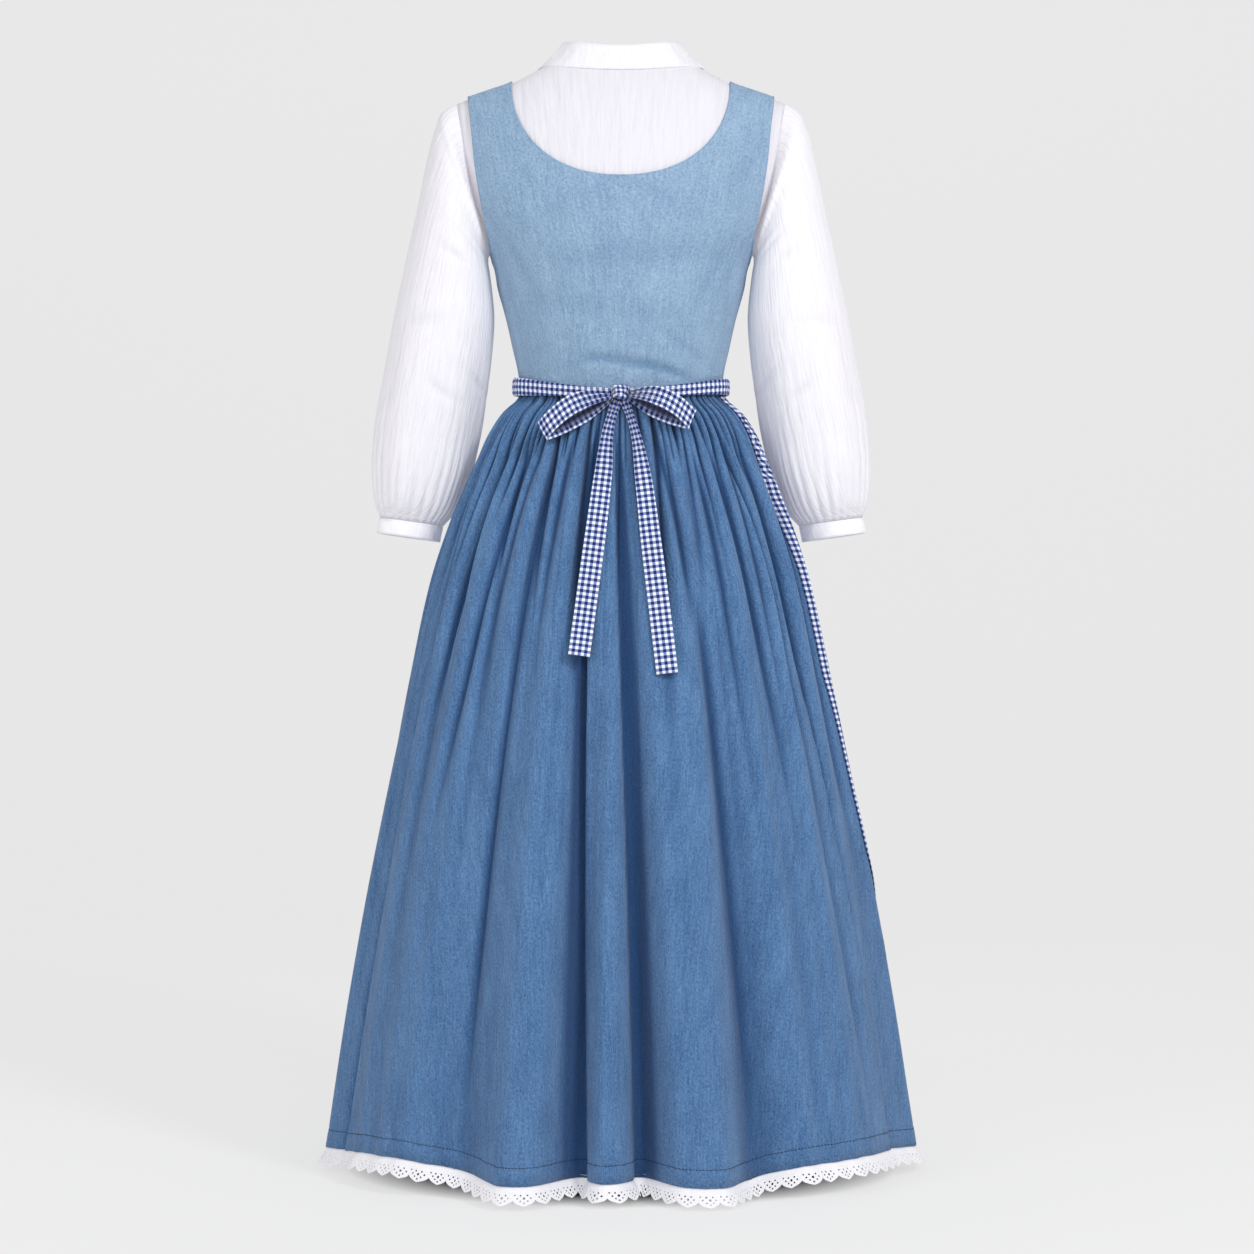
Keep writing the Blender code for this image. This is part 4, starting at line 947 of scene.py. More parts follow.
def cloth(
    name, grids, look, node, thickness=0.0010, uvs=None, fold_shades=None, centre=None, both=False,
):
    """A piece of cloth from grids of points, rows by columns. Grids that share points are one cloth. It faces
    away from the body's axis or from centre, one point for each row. Its thickness goes inward, or both ways.
    The fold shades say how deep in a fold each point lies, and darken its colour there as painted shade."""
    bm = bmesh.new()
    layer = bm.loops.layers.uv.new("cloth")
    # Each point's fold shade, the mask of the painted shade in the cloth's folds
    deep = bm.verts.layers.float.new("fold_shade")
    uvs = uvs or [cloth_uv(grid) for grid in grids]
    fold_shades = fold_shades or [np.zeros(grid.shape[:2]) for grid in grids]
    for grid, uv, fold_shade in zip(grids, uvs, fold_shades):
        rows, columns = grid.shape[:2]
        off = (grid - AXIS) * (1, 1, 0) if centre is None else grid - centre
        inside_out = (normals(grid) * off).sum() < 0
        verts = [[bm.verts.new(point) for point in row] for row in grid]
        for row, values in zip(verts, fold_shade):
            for vert, value in zip(row, values):
                vert[deep] = value
        for r, c in np.ndindex(rows - 1, columns - 1):
            corners = [(r, c), (r, c + 1), (r + 1, c + 1), (r + 1, c)]
            if inside_out:
                corners.reverse()
            face = bm.faces.new([verts[i][j] for i, j in corners])
            face.smooth = True
            for loop, place in zip(face.loops, corners):
                loop[layer].uv = uv[place]
    bmesh.ops.remove_doubles(bm, verts=bm.verts[:], dist=1e-6)
    made = finish_mesh(name, bm, look)
    thicken(made, thickness, 0.0 if both else -1.0)
    dress(made, node)


def finish_mesh(name, bm, look):
    mesh = bpy.data.meshes.new(name)
    bm.to_mesh(mesh)
    bm.free()
    mesh.materials.append(look)
    made = bpy.data.objects.new(name, mesh)
    bpy.context.scene.collection.objects.link(made)
    return made


def thicken(made, thickness, offset=-1.0):
    """Gives a surface its thickness: inward at an offset of -1, and both ways at 0."""
    solid = made.modifiers.new("thickness", "SOLIDIFY")
    solid.thickness = thickness
    solid.offset = offset


def dress(made, node):
    """Ties a piece to the part's only body, and hides the CAD node that it stands for."""
    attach(made, "root")
    if node:
        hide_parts(node)


def join_rings(bm, rings):
    """Smooth faces from each ring to the next. A ring of one point is a tip."""
    for first, second in zip(rings, rings[1:]):
        sides = max(len(first), len(second))
        for k in range(sides):
            n = (k + 1) % sides
            around = ((first, k), (first, n), (second, n), (second, k))
            corners = dict.fromkeys(ring[i % len(ring)] for ring, i in around)
            bm.faces.new(list(corners)).smooth = True


def flat_uv(bm, layer):
    """The cloth's own metres for small things: as seen from behind."""
    for face in bm.faces:
        for loop in face.loops:
            loop[layer].uv = (loop.vert.co.x, loop.vert.co.z)


def relaxed(points, times=60):
    """Points of a panel with its kinks eased away from its edges, which stay."""
    points = points.copy()
    for _ in range(times):
        around = points[:-2, 1:-1] + points[2:, 1:-1] + points[1:-1, :-2] + points[1:-1, 2:]
        points[1:-1, 1:-1] += 0.5 * (around / 4 - points[1:-1, 1:-1])
    return points


def dents(points, rows):
    """How far soft wrinkles, the rows of a table, press the cloth in."""
    x, z = points[..., 0], points[..., 2]
    total = 0.0
    for row in rows:
        lean = np.radians(row["lean"])
        dx, dz = x - row["x"], z - row["z"]
        along = (dx * np.cos(lean) + dz * np.sin(lean)) / row["reach"]
        across = (-dx * np.sin(lean) + dz * np.cos(lean)) / row["width"]
        total = total + row["depth"] * np.exp(-(along**2) - across**2) * (1 - 0.55 * across**2)
    return total


def normals(points):
    """Unit normals of a grid of points."""
    across = np.gradient(points, axis=1)
    down = np.gradient(points, axis=0)
    made = np.cross(across, down)
    return made / np.maximum(np.linalg.norm(made, axis=-1, keepdims=True), 1e-12)


# The bodice


def turn_uv(grid, points, hand):
    """The cloth's own metres on the upper form: round the body from its centre, and up."""
    return np.stack([hand * np.radians(grid[..., 0]) * BODY_RADIUS, points[..., 2]], axis=-1)


def pressed(points, wrinkles):
    """Points pressed in along their normals by wrinkles seen from behind or in front."""
    out = normals(points)
    off = points - AXIS
    out = out * np.sign((out[..., :2] * off[..., :2]).sum())
    return points - out * dents(points, wrinkles)[..., None]


# Wrinkles: the depth at which their painted shade is darkest, and their places, reach, width, lean in
# degrees and depth
DEEPEST_DENT = 0.0060
BODICE_WRINKLES = table(
    "x z reach width lean depth",
    (0.012, -0.3620, 0.055, 0.0065, -9.0, 0.0042),
    (0.062, -0.3720, 0.036, 0.0050, -18.0, 0.0028),
    (-0.045, -0.3600, 0.040, 0.0060, 14.0, 0.0012),
    (0.075, -0.3350, 0.050, 0.0070, -34.0, 0.0010),
    (-0.080, -0.3300, 0.045, 0.0060, 30.0, 0.0007),
    (0.118, -0.2450, 0.050, 0.0080, 62.0, 0.0012),
    (-0.120, -0.2500, 0.055, 0.0080, -60.0, 0.0012),
    (0.020, -0.2250, 0.110, 0.0200, 3.0, 0.0012),
    (-0.040, -0.2900, 0.090, 0.0170, -7.0, 0.0009),
    (0.070, -0.1600, 0.060, 0.0110, -30.0, 0.0006),
    (-0.080, -0.1650, 0.050, 0.0110, 25.0, 0.0006),
)
FRONT_WRINKLES = table(
    "x z reach width lean depth",
    (0.030, -0.3600, 0.060, 0.0060, 10.0, 0.0014),
    (-0.040, -0.3550, 0.055, 0.0060, -12.0, 0.0014),
    (0.110, -0.2500, 0.050, 0.0080, -40.0, 0.0012),
    (-0.112, -0.2450, 0.050, 0.0080, 42.0, 0.0012),
    (0.070, -0.3100, 0.045, 0.0080, 34.0, 0.0010),
    (-0.070, -0.3150, 0.045, 0.0080, -30.0, 0.0010),
)


def bodice():
    half = strap_panel(lambda turn: waist_z(turn) + SEAM, neckline(BACK_NECK_DEPTH, BACK_NECK_POWER))
    points = relaxed(panel_points(half, BACK, 0.0))
    halves = [pressed(points * (hand, 1, 1), BODICE_WRINKLES) for hand in (1, -1)]
    below_neck = slice(BODICE_LOWER_ROWS + 1)
    halves[1][below_neck, 0] = halves[0][below_neck, 0]
    # Painted shade in the back's wrinkles, darker where they press deeper
    cloth(
        "bodice_back_cloth", halves, BODICE_BLUE, "bodice_back",
        uvs=[turn_uv(half, points, hand) for hand in (1, -1)],
        fold_shades=[np.clip(dents(points, BODICE_WRINKLES) / DEEPEST_DENT, 0, 0.5) for points in halves],
    )
    half = strap_panel(lambda turn: waist_z(180 - turn) + SEAM, neckline(FRONT_NECK_DEPTH, FRONT_NECK_POWER))
    for side, hand, edge in (("right", 1, -BUTTON_LAP), ("left", -1, BUTTON_LAP + SEAM)):
        points = relaxed(panel_points(half, FRONT, 0.0))
        points[below_neck, :, 0] += edge * np.exp(-points[below_neck, :, 0] / LAP_REACH)
        points[..., 0] *= hand
        cloth(
            f"bodice_front_{side}_cloth", [pressed(points, FRONT_WRINKLES)], BODICE_BLUE,
            f"bodice_front_{side}",
            uvs=[turn_uv(half, points, hand)],
        )


# The blouse

BLOUSE_WRINKLES = table(
    "x z reach width lean depth",
    (0.000, 0.0000, 0.060, 0.0050, 88.0, 0.0006),
    (0.035, -0.0200, 0.060, 0.0040, 85.0, 0.0005),
    (-0.040, -0.0300, 0.070, 0.0050, 94.0, 0.0006),
    (0.080, -0.0100, 0.040, 0.0050, 70.0, 0.0006),
    (-0.085, -0.0100, 0.040, 0.0050, 108.0, 0.0006),
)


def blouse():
    back = ("back", BACK, 0, (1, -1), (0.46, 0.38), 0.145)
    right = ("front_right", FRONT, 180, (1,), (0.25, 0.38), 0.070)
    left = ("front_left", FRONT, 180, (-1,), (0.25, 0.38), 0.070)
    for name, side, start, hands, flat, area in (back, right, left):
        half = blouse_panel(np.stack(neck_edge(np.linspace(start, 90, NECK_STEPS + 1)), axis=-1))
        points = relaxed(panel_points(half, side, *BLOUSE_FIT))
        if side == FRONT:
            points[:, 0, 0] = HALF_SEAM
        grids = [pressed(points * (hand, 1, 1), BLOUSE_WRINKLES) for hand in hands]
        grids[-1][:, 0] = grids[0][:, 0]
        cloth(
            f"blouse_{name}_cloth", grids, SHADED_BODY_WHITE, f"blouse_{name}",
            thickness=THIN_CLOTH, uvs=[turn_uv(half, points, hand) for hand in hands],
        )


def collar():
    """The band collar, leaning in, with its rolled upper edge and two rows of edge stitching."""
    angles = np.linspace(-COLLAR_END, COLLAR_END, COLLAR_COLUMNS)
    x, z = neck_edge(angles)
    turn, rise = on_torso(x, z, *BLOUSE_FIT)
    behind = (np.cos(np.radians(angles)) > 0)[:, None]
    base = np.where(behind, *(torso(turn, rise, side, *BLOUSE_FIT) for side in (BACK, FRONT)))
    base[:, 0] *= np.sign(x)
    base[:, 2] = z + 2 * SEAM
    lean_y = np.where(behind[:, 0], COLLAR_BACK_LEAN, COLLAR_FRONT_LEAN)
    lean = np.stack([-COLLAR_SIDE_LEAN * np.sin(np.radians(angles)), lean_y * np.cos(np.radians(angles))], -1)
    around = np.pad(base[:, :2], ((COLLAR_SOFT, COLLAR_SOFT), (0, 0)), mode="wrap")
    window = np.ones(2 * COLLAR_SOFT + 1) / (2 * COLLAR_SOFT + 1)
    eased = np.stack([np.convolve(around[:, axis], window, "valid") for axis in (0, 1)], axis=-1)
    rows = []
    for share in np.linspace(0, 1, COLLAR_ROWS):
        ring = base.copy()
        ring[:, :2] += lean * (share + 0.25 * share * (1 - share))
        ring[:, :2] += (eased - base[:, :2]) * min(1.0, 3 * share)
        ring[:, 2] += COLLAR_HEIGHT * share
        rows.append(ring)
    points = np.array(rows)
    waves = 0.0004 * np.sin(np.radians(angles) * 9 + 1) + 0.0003 * np.sin(np.radians(angles) * 23)
    points += normals(points) * (waves * np.sin(np.linspace(0, np.pi, COLLAR_ROWS))[:, None])[..., None]
    cloth(
        "collar_cloth", [points], WHITE_BAND, "collar",
        thickness=FOLDED_BAND,
    )
    for row in (1, COLLAR_ROWS - 2):
        stitches(f"collar_stitches_{row}", points[row], EDGE_STITCH, 0.0003, WHITE_THREAD)


# Sleeves

# Wrinkles: angle round the sleeve and share of its length, reach in degrees, width, lean and depth
SLEEVE_WRINKLES = table(
    "angle along reach width lean depth",
    (-60.0, 0.55, 26.0, 0.030, 0.4, 0.0030),
    (-95.0, 0.30, 22.0, 0.022, 0.5, 0.0030),
    (-120.0, 0.18, 26.0, 0.018, 0.6, 0.0030),
    (-140.0, 0.10, 24.0, 0.016, 0.6, 0.0028),
    (-110.0, 0.72, 24.0, 0.020, -0.5, 0.0024),
    (-150.0, 0.66, 26.0, 0.018, -0.5, 0.0024),
    (-30.0, 0.75, 16.0, 0.030, 0.4, 0.0016),
    (60.0, 0.30, 24.0, 0.022, -0.4, 0.0026),
    (110.0, 0.18, 26.0, 0.020, -0.5, 0.0028),
    (95.0, 0.66, 26.0, 0.022, 0.5, 0.0026),
    (140.0, 0.60, 26.0, 0.018, 0.5, 0.0026),
)


def sleeve_points():
    """The sleeve's rings, with sharp uneven gathers over the cuff, long soft folds above them and wrinkles.
    Gives also each ring's middle, and how deep each point lies, which paints shade in its folds and gathers."""
    angles = np.linspace(0, 360, SLEEVE_COLUMNS + 1)
    places = np.concatenate([[-0.02, -0.01], np.linspace(0, 1, SLEEVE_ROWS - 2) ** 0.9])
    head = armhole_ring(angles % 360, 0.0)
    tucked = armhole_ring(angles % 360, 0.0015) - (0.004, 0, 0)
    rings = np.array([tucked, head] + [sleeve_ring(row, angles, 0.0) for row in SLEEVE])
    points = smooth(np.concatenate([[-0.02, 0.0], SLEEVE["along"]]), rings, places)
    centre = points[:, :-1].mean(axis=1, keepdims=True)
    out = points - centre
    out /= np.linalg.norm(out, axis=-1, keepdims=True)
    along, turn = places[:, None], np.radians(angles[None])
    drift = 0.22 * np.sin(turn * 3 + 1) + 0.15 * np.sin(turn * 5)
    pleat = np.abs(np.sin(np.pi * (angles[None] / 360 * SLEEVE_GATHERS * 2 + drift))) ** 0.8 - 0.62
    reach = 0.75 + 0.12 * np.sin(turn * 7 + 2)
    gathered = ease_in((along - reach) / (1 - reach)) * (1 - 0.55 * ease_in((along - 0.97) / 0.03))
    long_fold = np.sin(turn * 6 + 2.5 * along) * ease_in((along - 0.35) / 0.4) * ease_in((1 - along) / 0.08)
    rise = SLEEVE_PLEAT * pleat * gathered + SLEEVE_FOLD * long_fold
    for row in SLEEVE_WRINKLES:
        off = (angles[None] - row["angle"] + 180) % 360 - 180
        across = (along - row["along"] - row["lean"] * np.radians(off) * 0.12) / row["width"]
        rise = rise - row["depth"] * np.exp(-((off / row["reach"]) ** 2) - across**2) * (1 - 0.5 * across**2)
    points += out * rise[..., None]
    # Painted shade: darkest in the sharp gathers over the cuff, lighter in the soft folds above them
    sharp = np.clip(-rise / 0.0035 * gathered - 0.3, 0, 1)
    soft = np.clip(-rise / 0.0060 - 0.2, 0, 0.4) * (1 - gathered)
    return points, centre, np.clip(sharp + soft, 0, 1)


def sleeves():
    points, centre, fold_shades = sleeve_points()
    for side, mirror in (("right", (1, 1, 1)), ("left", (-1, 1, 1))):
        cloth(
            f"sleeve_{side}_cloth", [points * mirror], WHITE, f"sleeve_{side}",
            thickness=THIN_CLOTH, fold_shades=[fold_shades], centre=centre * mirror,
        )
        cuff(side, mirror)


def cuff(side, mirror):
    """A narrow band with a rounded edge, stitched along both sides."""
    angles = np.linspace(0, 360, CUFF_COLUMNS + 1)
    top = sleeve_ring(SLEEVE[-1], angles, -0.0008)
    middle = top[:-1].mean(axis=0)
    out = (top - middle) / np.linalg.norm(top - middle, axis=1, keepdims=True)
    rows = []
    for share in np.linspace(0, 1, CUFF_ROWS):
        ring = top + np.array(CUFF_DIRECTION) * (CUFF_HEIGHT * share + SEAM)
        bulge = 0.0006 * np.sin(np.pi * share) + 0.00035 * np.sin(np.radians(angles) * 11 + 4 * share)
        rows.append(ring + out * bulge[:, None])
    points = np.array(rows) * mirror
    cloth(
        f"cuff_{side}_cloth", [points], LIT_CUFF_WHITE, f"cuff_{side}",
        thickness=FOLDED_BAND, centre=points[:, :-1].mean(axis=1, keepdims=True),
    )
    for percent in (10, 90):
        line = points[0] + (points[-1] - points[0]) * (percent / 100)
        name = f"cuff_{side}_stitches_{percent}"
        stitches(name, line, EDGE_STITCH, 0.0004, WHITE_THREAD, 0.0003)


# Sewing

# The stitches' pitch along an edge and in the hem, and one stitch: its rings' places and heights
EDGE_STITCH = 0.0026
HEM_STITCH = 0.0042
THREAD_PLACES = np.array([-0.40, -0.28, 0.0, 0.28, 0.40])
THREAD_LIFTS = np.array([-0.5, 0.25, 0.5, 0.25, -0.5])
THREAD_SIDES = 5


def stitches(name, line, pitch, width, look, proud=0.0):
    """A row of stitches along a line of points: a short thread for each, sunk at both ends."""
    length = lengths_along(line[None], 1)[0]
    count = int(length[-1] / pitch)
    around = np.stack([np.gradient(line[:, 1]), -np.gradient(line[:, 0])], axis=-1)
    outward = np.sign((around * (line - line.mean(axis=0))[:, :2]).sum())
    turns = np.arange(THREAD_SIDES) * 2 * np.pi / THREAD_SIDES
    bm = bmesh.new()
    layer = bm.loops.layers.uv.new("cloth")
    for i in range(count):
        places = (i + 0.5 + THREAD_PLACES) * length[-1] / count
        centres = np.stack([np.interp(places, length, line[:, axis]) for axis in range(3)], axis=-1)
        along = centres[-1] - centres[0]
        along /= np.linalg.norm(along)
        out = np.array([along[1], -along[0], 0.0]) * outward
        out /= np.linalg.norm(out)
        side = np.cross(along, out)
        spokes = [out * np.sin(a) + side * np.cos(a) for a in turns]
        rings = []
        for centre, lift in zip(centres, THREAD_LIFTS * width):
            core = centre + out * (lift + proud)
            rings.append([bm.verts.new(core + spoke * width / 2) for spoke in spokes])
        join_rings(bm, rings)
        bm.faces.new(rings[0][::-1])
        bm.faces.new(rings[-1])
    flat_uv(bm, layer)
    bmesh.ops.recalc_face_normals(bm, faces=bm.faces[:])
    dress(finish_mesh(name, bm, look), None)


# The skirt

# The hem's depth as a share of the skirt's length, its thicker cloth, and the rise of its puckers
HEM_FOLD = 0.0215 / (WAIST_Z - HEM_Z)
HEM_THICKER = 0.0005
HEM_PUCKER = 0.00045

# Rows and columns of the skirt and the apron
SKIRT_ROWS = 88
BACK_COLUMNS = 480
FRONT_COLUMNS = 250
APRON_ROWS = 105
APRON_COLUMNS = 241


def hemmed(angle, down, out=0.0):
    """The fine skirt with its turned-up hem: a little thicker below the stitching, and drawn in along it."""
    past = down - 1 + HEM_FOLD
    along = np.asarray(angle) * 0.9
    pucker = HEM_PUCKER * np.sin(along * 2.1 + 1.7 * np.sin(along * 0.37)) * np.exp(-np.abs(past) / 0.008)
    thicker = HEM_THICKER * ease_in(past / 0.004)
    drawn_in = HEM_THICKER * np.exp(-((past / 0.004) ** 2))
    return fine_skirt(angle, down, out + thicker - drawn_in + pucker)


def skirt_rows(count):
    """Shares of the skirt's length, closer together near the waist."""
    t = np.linspace(0, 1, count)
    return 0.55 * t + 0.45 * t**2.2


def skirt_cloths():
    rows = np.sort(np.concatenate([skirt_rows(SKIRT_ROWS), 1 - HEM_FOLD + 0.003 * np.arange(-2, 3)]))[:, None]
    back = ("skirt_back", BACK, -90, BACK_COLUMNS, 1.22)
    front = ("skirt_front", FRONT, 90, FRONT_COLUMNS, 1.21)
    for name, side, start, columns, width in (back, front):
        points = hemmed(np.linspace(start, start + 180, columns)[None], rows)
        points[:, [0, -1], 1] = side * HALF_SEAM
        # Painted shade deep in the skirt's folds: how far each point lies behind its neighbours, over wide
        # and narrow reaches
        wide = hollowness(points, columns // 36, 0.0026 + 0.0080 * rows)
        narrow = hollowness(points, columns // 96, 0.0009 + 0.0110 * rows)
        cloth(
            f"{name}_cloth", [points], SKIRT_BLUE, name,
            fold_shades=[np.maximum(wide, narrow)],
        )
    stitches("hem_stitches", hem_line(1 - HEM_FOLD, 0.0), HEM_STITCH, 0.0008, THREAD)


# The apron


def apron():
    rows = skirt_rows(APRON_ROWS) * (WAIST_Z - APRON_HEM_Z) / (WAIST_Z - HEM_Z)
    down = APRON_EDGES["down"]
    right, left = (np.interp(rows, down, APRON_EDGES[side])[:, None] for side in ("right", "left"))
    angles = 90 - right + (180 + left + right) * np.linspace(0, 1, APRON_COLUMNS)
    points = fine_skirt(angles, rows[:, None], APRON_OVER)
    uv = cloth_uv(points, 0.0)
    u = uv[..., 0]
    inner = ease_in((u - 0.03) / np.maximum(u[:, -1:] - 0.06, 0.05))
    uv[..., 0] = u + (u[-1, -1] - u[:, -1:]) * inner
    cloth(
        "apron_cloth", [points], CHECKS, "apron",
        thickness=THIN_CLOTH, uvs=[uv],
    )


# The lace


def eyelet_motif(pitch):
    """One point of the lace, flat: its corner places and its triangles, with its eyelets left open."""
    side = np.linspace(0, 1, 7)
    fall = LACE_VALLEY + (LACE_TIP - LACE_VALLEY) * side
    right = [Vector(place) for place in zip((0.5 - side / 2 + 0.10 * np.sin(np.pi * side)) * pitch, -fall)]
    left = [Vector((-place.x, place.y)) for place in right[-2::-1]]
    points = [Vector((-pitch / 2, LACE_BEHIND)), Vector((pitch / 2, LACE_BEHIND)), *right, *left]
    edges = [(i, (i + 1) % len(points)) for i in range(len(points))]
    for x, y, radius in EYELETS:
        first = len(points)
        turns = np.arange(EYELET_SIDES) * 2 * np.pi / EYELET_SIDES
        points += [Vector((x + radius * np.cos(turn), y + radius * np.sin(turn))) for turn in turns]
        edges += [(first + i, first + (i + 1) % EYELET_SIDES) for i in range(EYELET_SIDES)]
    points += [Vector((x, y)) for y in (0.002, -0.0040) for x in (-0.0085, -0.0028, 0.0028, 0.0085)]
    flat, _, triangles = delaunay_2d_cdt(points, edges, [], 1, 1e-7)[:3]
    cloth_left = []
    for triangle in triangles:
        centre = sum((flat[k] for k in triangle), Vector((0, 0))) / 3
        if all((centre - Vector((x, y))).length > radius for x, y, radius in EYELETS):
            cloth_left.append(triangle)
    return np.array(flat), cloth_left


def hem_line(down, inward):
    """The skirt's own points round both panels at one height, moved in along the cloth's normal."""
    angles = np.concatenate([np.linspace(-90, 90, BACK_COLUMNS), np.linspace(90, 270, FRONT_COLUMNS)[1:]])
    line = hemmed(angles, np.full_like(angles, down))
    ahead = np.roll(line[:-1], -1, axis=0) - np.roll(line[:-1], 1, axis=0)
    ahead = np.concatenate([ahead, ahead[:1]])
    inside = np.stack([-ahead[:, 1], ahead[:, 0], 0 * ahead[:, 0]], axis=-1)
    inside /= np.linalg.norm(inside, axis=1, keepdims=True)
    return line + inside * inward


def hem_lace():
    """Eyelet lace sewn behind the hem, round both panels."""
    lower = hem_line(1.0, LACE_INSIDE)
    upper = hem_line(1 - LACE_BEHIND / (WAIST_Z - HEM_Z), 2 * LACE_INSIDE)
    along = lengths_along(lower[None], 1)[0]
    pitch = along[-1] / LACE_POINTS
    flat, triangles = eyelet_motif(pitch)
    bm = bmesh.new()
    layer = bm.loops.layers.uv.new("cloth")
    for i in range(LACE_POINTS):
        places, falls = (i + 0.5) * pitch + flat[:, 0], flat[:, 1]
        low, high = (
            np.stack([np.interp(places, along, axis) for axis in line.T], axis=-1) for line in (lower, upper)
        )
        verts = [bm.verts.new(point) for point in low + (high - low) * (falls / LACE_BEHIND)[:, None]]
        for triangle in triangles:
            face = bm.faces.new([verts[k] for k in triangle])
            for loop, k in zip(face.loops, triangle):
                loop[layer].uv = (places[k], falls[k])
    bmesh.ops.remove_doubles(bm, verts=bm.verts[:], dist=2e-6)
    made = finish_mesh("hem_lace_cloth", bm, LACE_WHITE)
    thicken(made, LACE_CLOTH)
    dress(made, "hem_lace")


# The ties and the bow


def band(name, node, first, last, columns, ends=(1.0, 1.0)):
    """A folded band round the waist, with soft lengthwise creases where it is drawn narrow."""
    angles = np.linspace(first, last, columns)
    clear = TIE_CLEAR + (BAND_CLEAR - TIE_CLEAR) * ease_in((np.abs(angles) - 50) / 25)
    widths = TIE_FOLDED * np.linspace(*ends, columns) ** 0.8
    folds = skirt(angles, 0.0, fold_rise(angles, np.zeros(columns))) - skirt(angles, 0.0)
    smooth_line = skirt(angles, 0.0, clear + TIE_CLOTH) - folds
    out = (smooth_line - AXIS) * (1, 1, 0)
    out /= np.linalg.norm(out, axis=1, keepdims=True)
    depth = 0.0003 + 0.0012 * np.maximum(1 - widths / TIE_FOLDED, 0.0)
    shares = np.linspace(-0.5, 0.5, BAND_ROWS)[:, None]
    fold = np.cos(shares * 2 * np.pi * 2.5 + 0.6 * np.sin(np.radians(angles) * 5))
    points = smooth_line + out * (depth * fold - 0.0012 * (2 * shares) ** 4)[..., None]
    points[..., 2] += shares * widths
    u = lengths_along(points, 1)
    v = shares * np.maximum(widths, 0.011)
    cloth(
        name, [points], CHECKS, node,
        thickness=0.0012, uvs=[np.stack([u.mean(axis=0) + 0 * v, v], axis=-1)],
    )


def ribbon(name, node, centres, across, widths, puffs, inner=0.0):
    """A strip of the tie along its centres, with folds that run along it where it is drawn narrow, and
    painted shade in their troughs. inner says where its upper part lies in shadow inside a loop, painted in
    as well."""
    normal = np.cross(np.gradient(centres, axis=0), across)
    normal /= np.linalg.norm(normal, axis=1, keepdims=True)
    shares = np.linspace(-0.5, 0.5, RIBBON_ROWS)[:, None]
    fold = np.cos(shares * 2 * np.pi * 2.5 + 0.8) * puffs
    points = centres + across * (widths * shares)[..., None]
    points = points + normal * (fold - 0.0008 * (2 * shares) ** 2)[..., None]
    # Painted shade in the fold troughs, and painted shadow in the loop's upper part
    fold_shade = np.maximum(np.clip(-fold / 0.0012, 0, 0.9), inner * np.clip((0.34 - shares) / 0.16, 0, 1))
    u = shares * np.maximum(widths, TIE_WIDTH * 0.8)
    v = lengths_along(centres[None], 1)
    uv = np.stack([u, v + 0 * u], axis=-1)
    cloth(name, [points], CHECKS, node, uvs=[uv], fold_shades=[fold_shade], both=True)


def bow_loop(side, hand, reach, drop):
    """A loop of the bow: its front layer lies a little above its back one, so that its inside shows below."""
    turns = np.linspace(-0.93 * np.pi, 0.93 * np.pi, LOOP_STEPS)
    shares = 0.5 * (1 + np.cos(turns))
    apart = np.sin(turns) * np.sin(np.pi * (0.08 + 0.84 * shares)) ** 0.6
    outward = Vector((hand * reach, 0.0, -drop)).normalized()
    down = Vector((hand * outward.z, 0.0, -hand * outward.x))
    far = np.hypot(reach, drop)
    start = KNOT.y - 0.002
    centres = []
    for share, part in zip(shares, apart):
        lowered = LOOP_LOWERED * part - LOOP_ARCH * np.sin(np.pi * share**0.8)
        place = KNOT + outward * (LOOP_START + far * share) + down * lowered
        lying = skirt_back_y(place.x, place.z - 0.012) - TIE_CLEAR - LOOP_APART * 0.75
        place.y = min(start, start + (lying - start) * min(1.0, share * 2)) + LOOP_APART * part
        centres.append(place)
    widths = TIE_WIDTH * (0.34 + 0.60 * np.minimum(1.0, shares * 2.4) ** 0.8)
    across = np.tile(np.array(down), (len(centres), 1))
    puffs = 0.0016 * (1 - np.clip(shares * 1.8, 0, 1))
    # Where the loop's layers lie apart, its upper part gets painted shadow
    inner = np.clip(apart * 2.5, 0, 1) * np.clip((1 - shares) * 12, 0, 1)
    name = f"bow_loop_{side}"
    ribbon(f"{name}_cloth", name, np.array(centres), across, widths, puffs, inner)


def tail(side, rows, clear):
    """A hanging end of the tie, which lies on the skirt's folds and is wider where it leaves the knot."""
    places = np.linspace(0, 1, TAIL_STEPS)
    x, z, widths = (through(rows, column, places) for column in ("x", "z", "width"))
    lying = np.array([skirt_back_y(px, pz) for px, pz in zip(x, z)]) - clear - 0.0022
    y = np.minimum(lying, KNOT.y + 0.35 * KNOT_SIZE.y - 0.10 * places)
    centres = np.stack([x, y, z], axis=-1)
    widths = widths + 0.0055 * np.exp(-((places / 0.035) ** 2))
    slope = np.gradient(x, z)
    across = np.stack([np.ones_like(slope), np.zeros_like(slope), -slope], axis=-1)
    across /= np.linalg.norm(across, axis=1, keepdims=True)
    puffs = 0.0012 * (1 - np.clip(places * 3, 0, 1))
    ribbon(f"tail_{side}_cloth", f"tail_{side}", centres, across, widths, puffs)


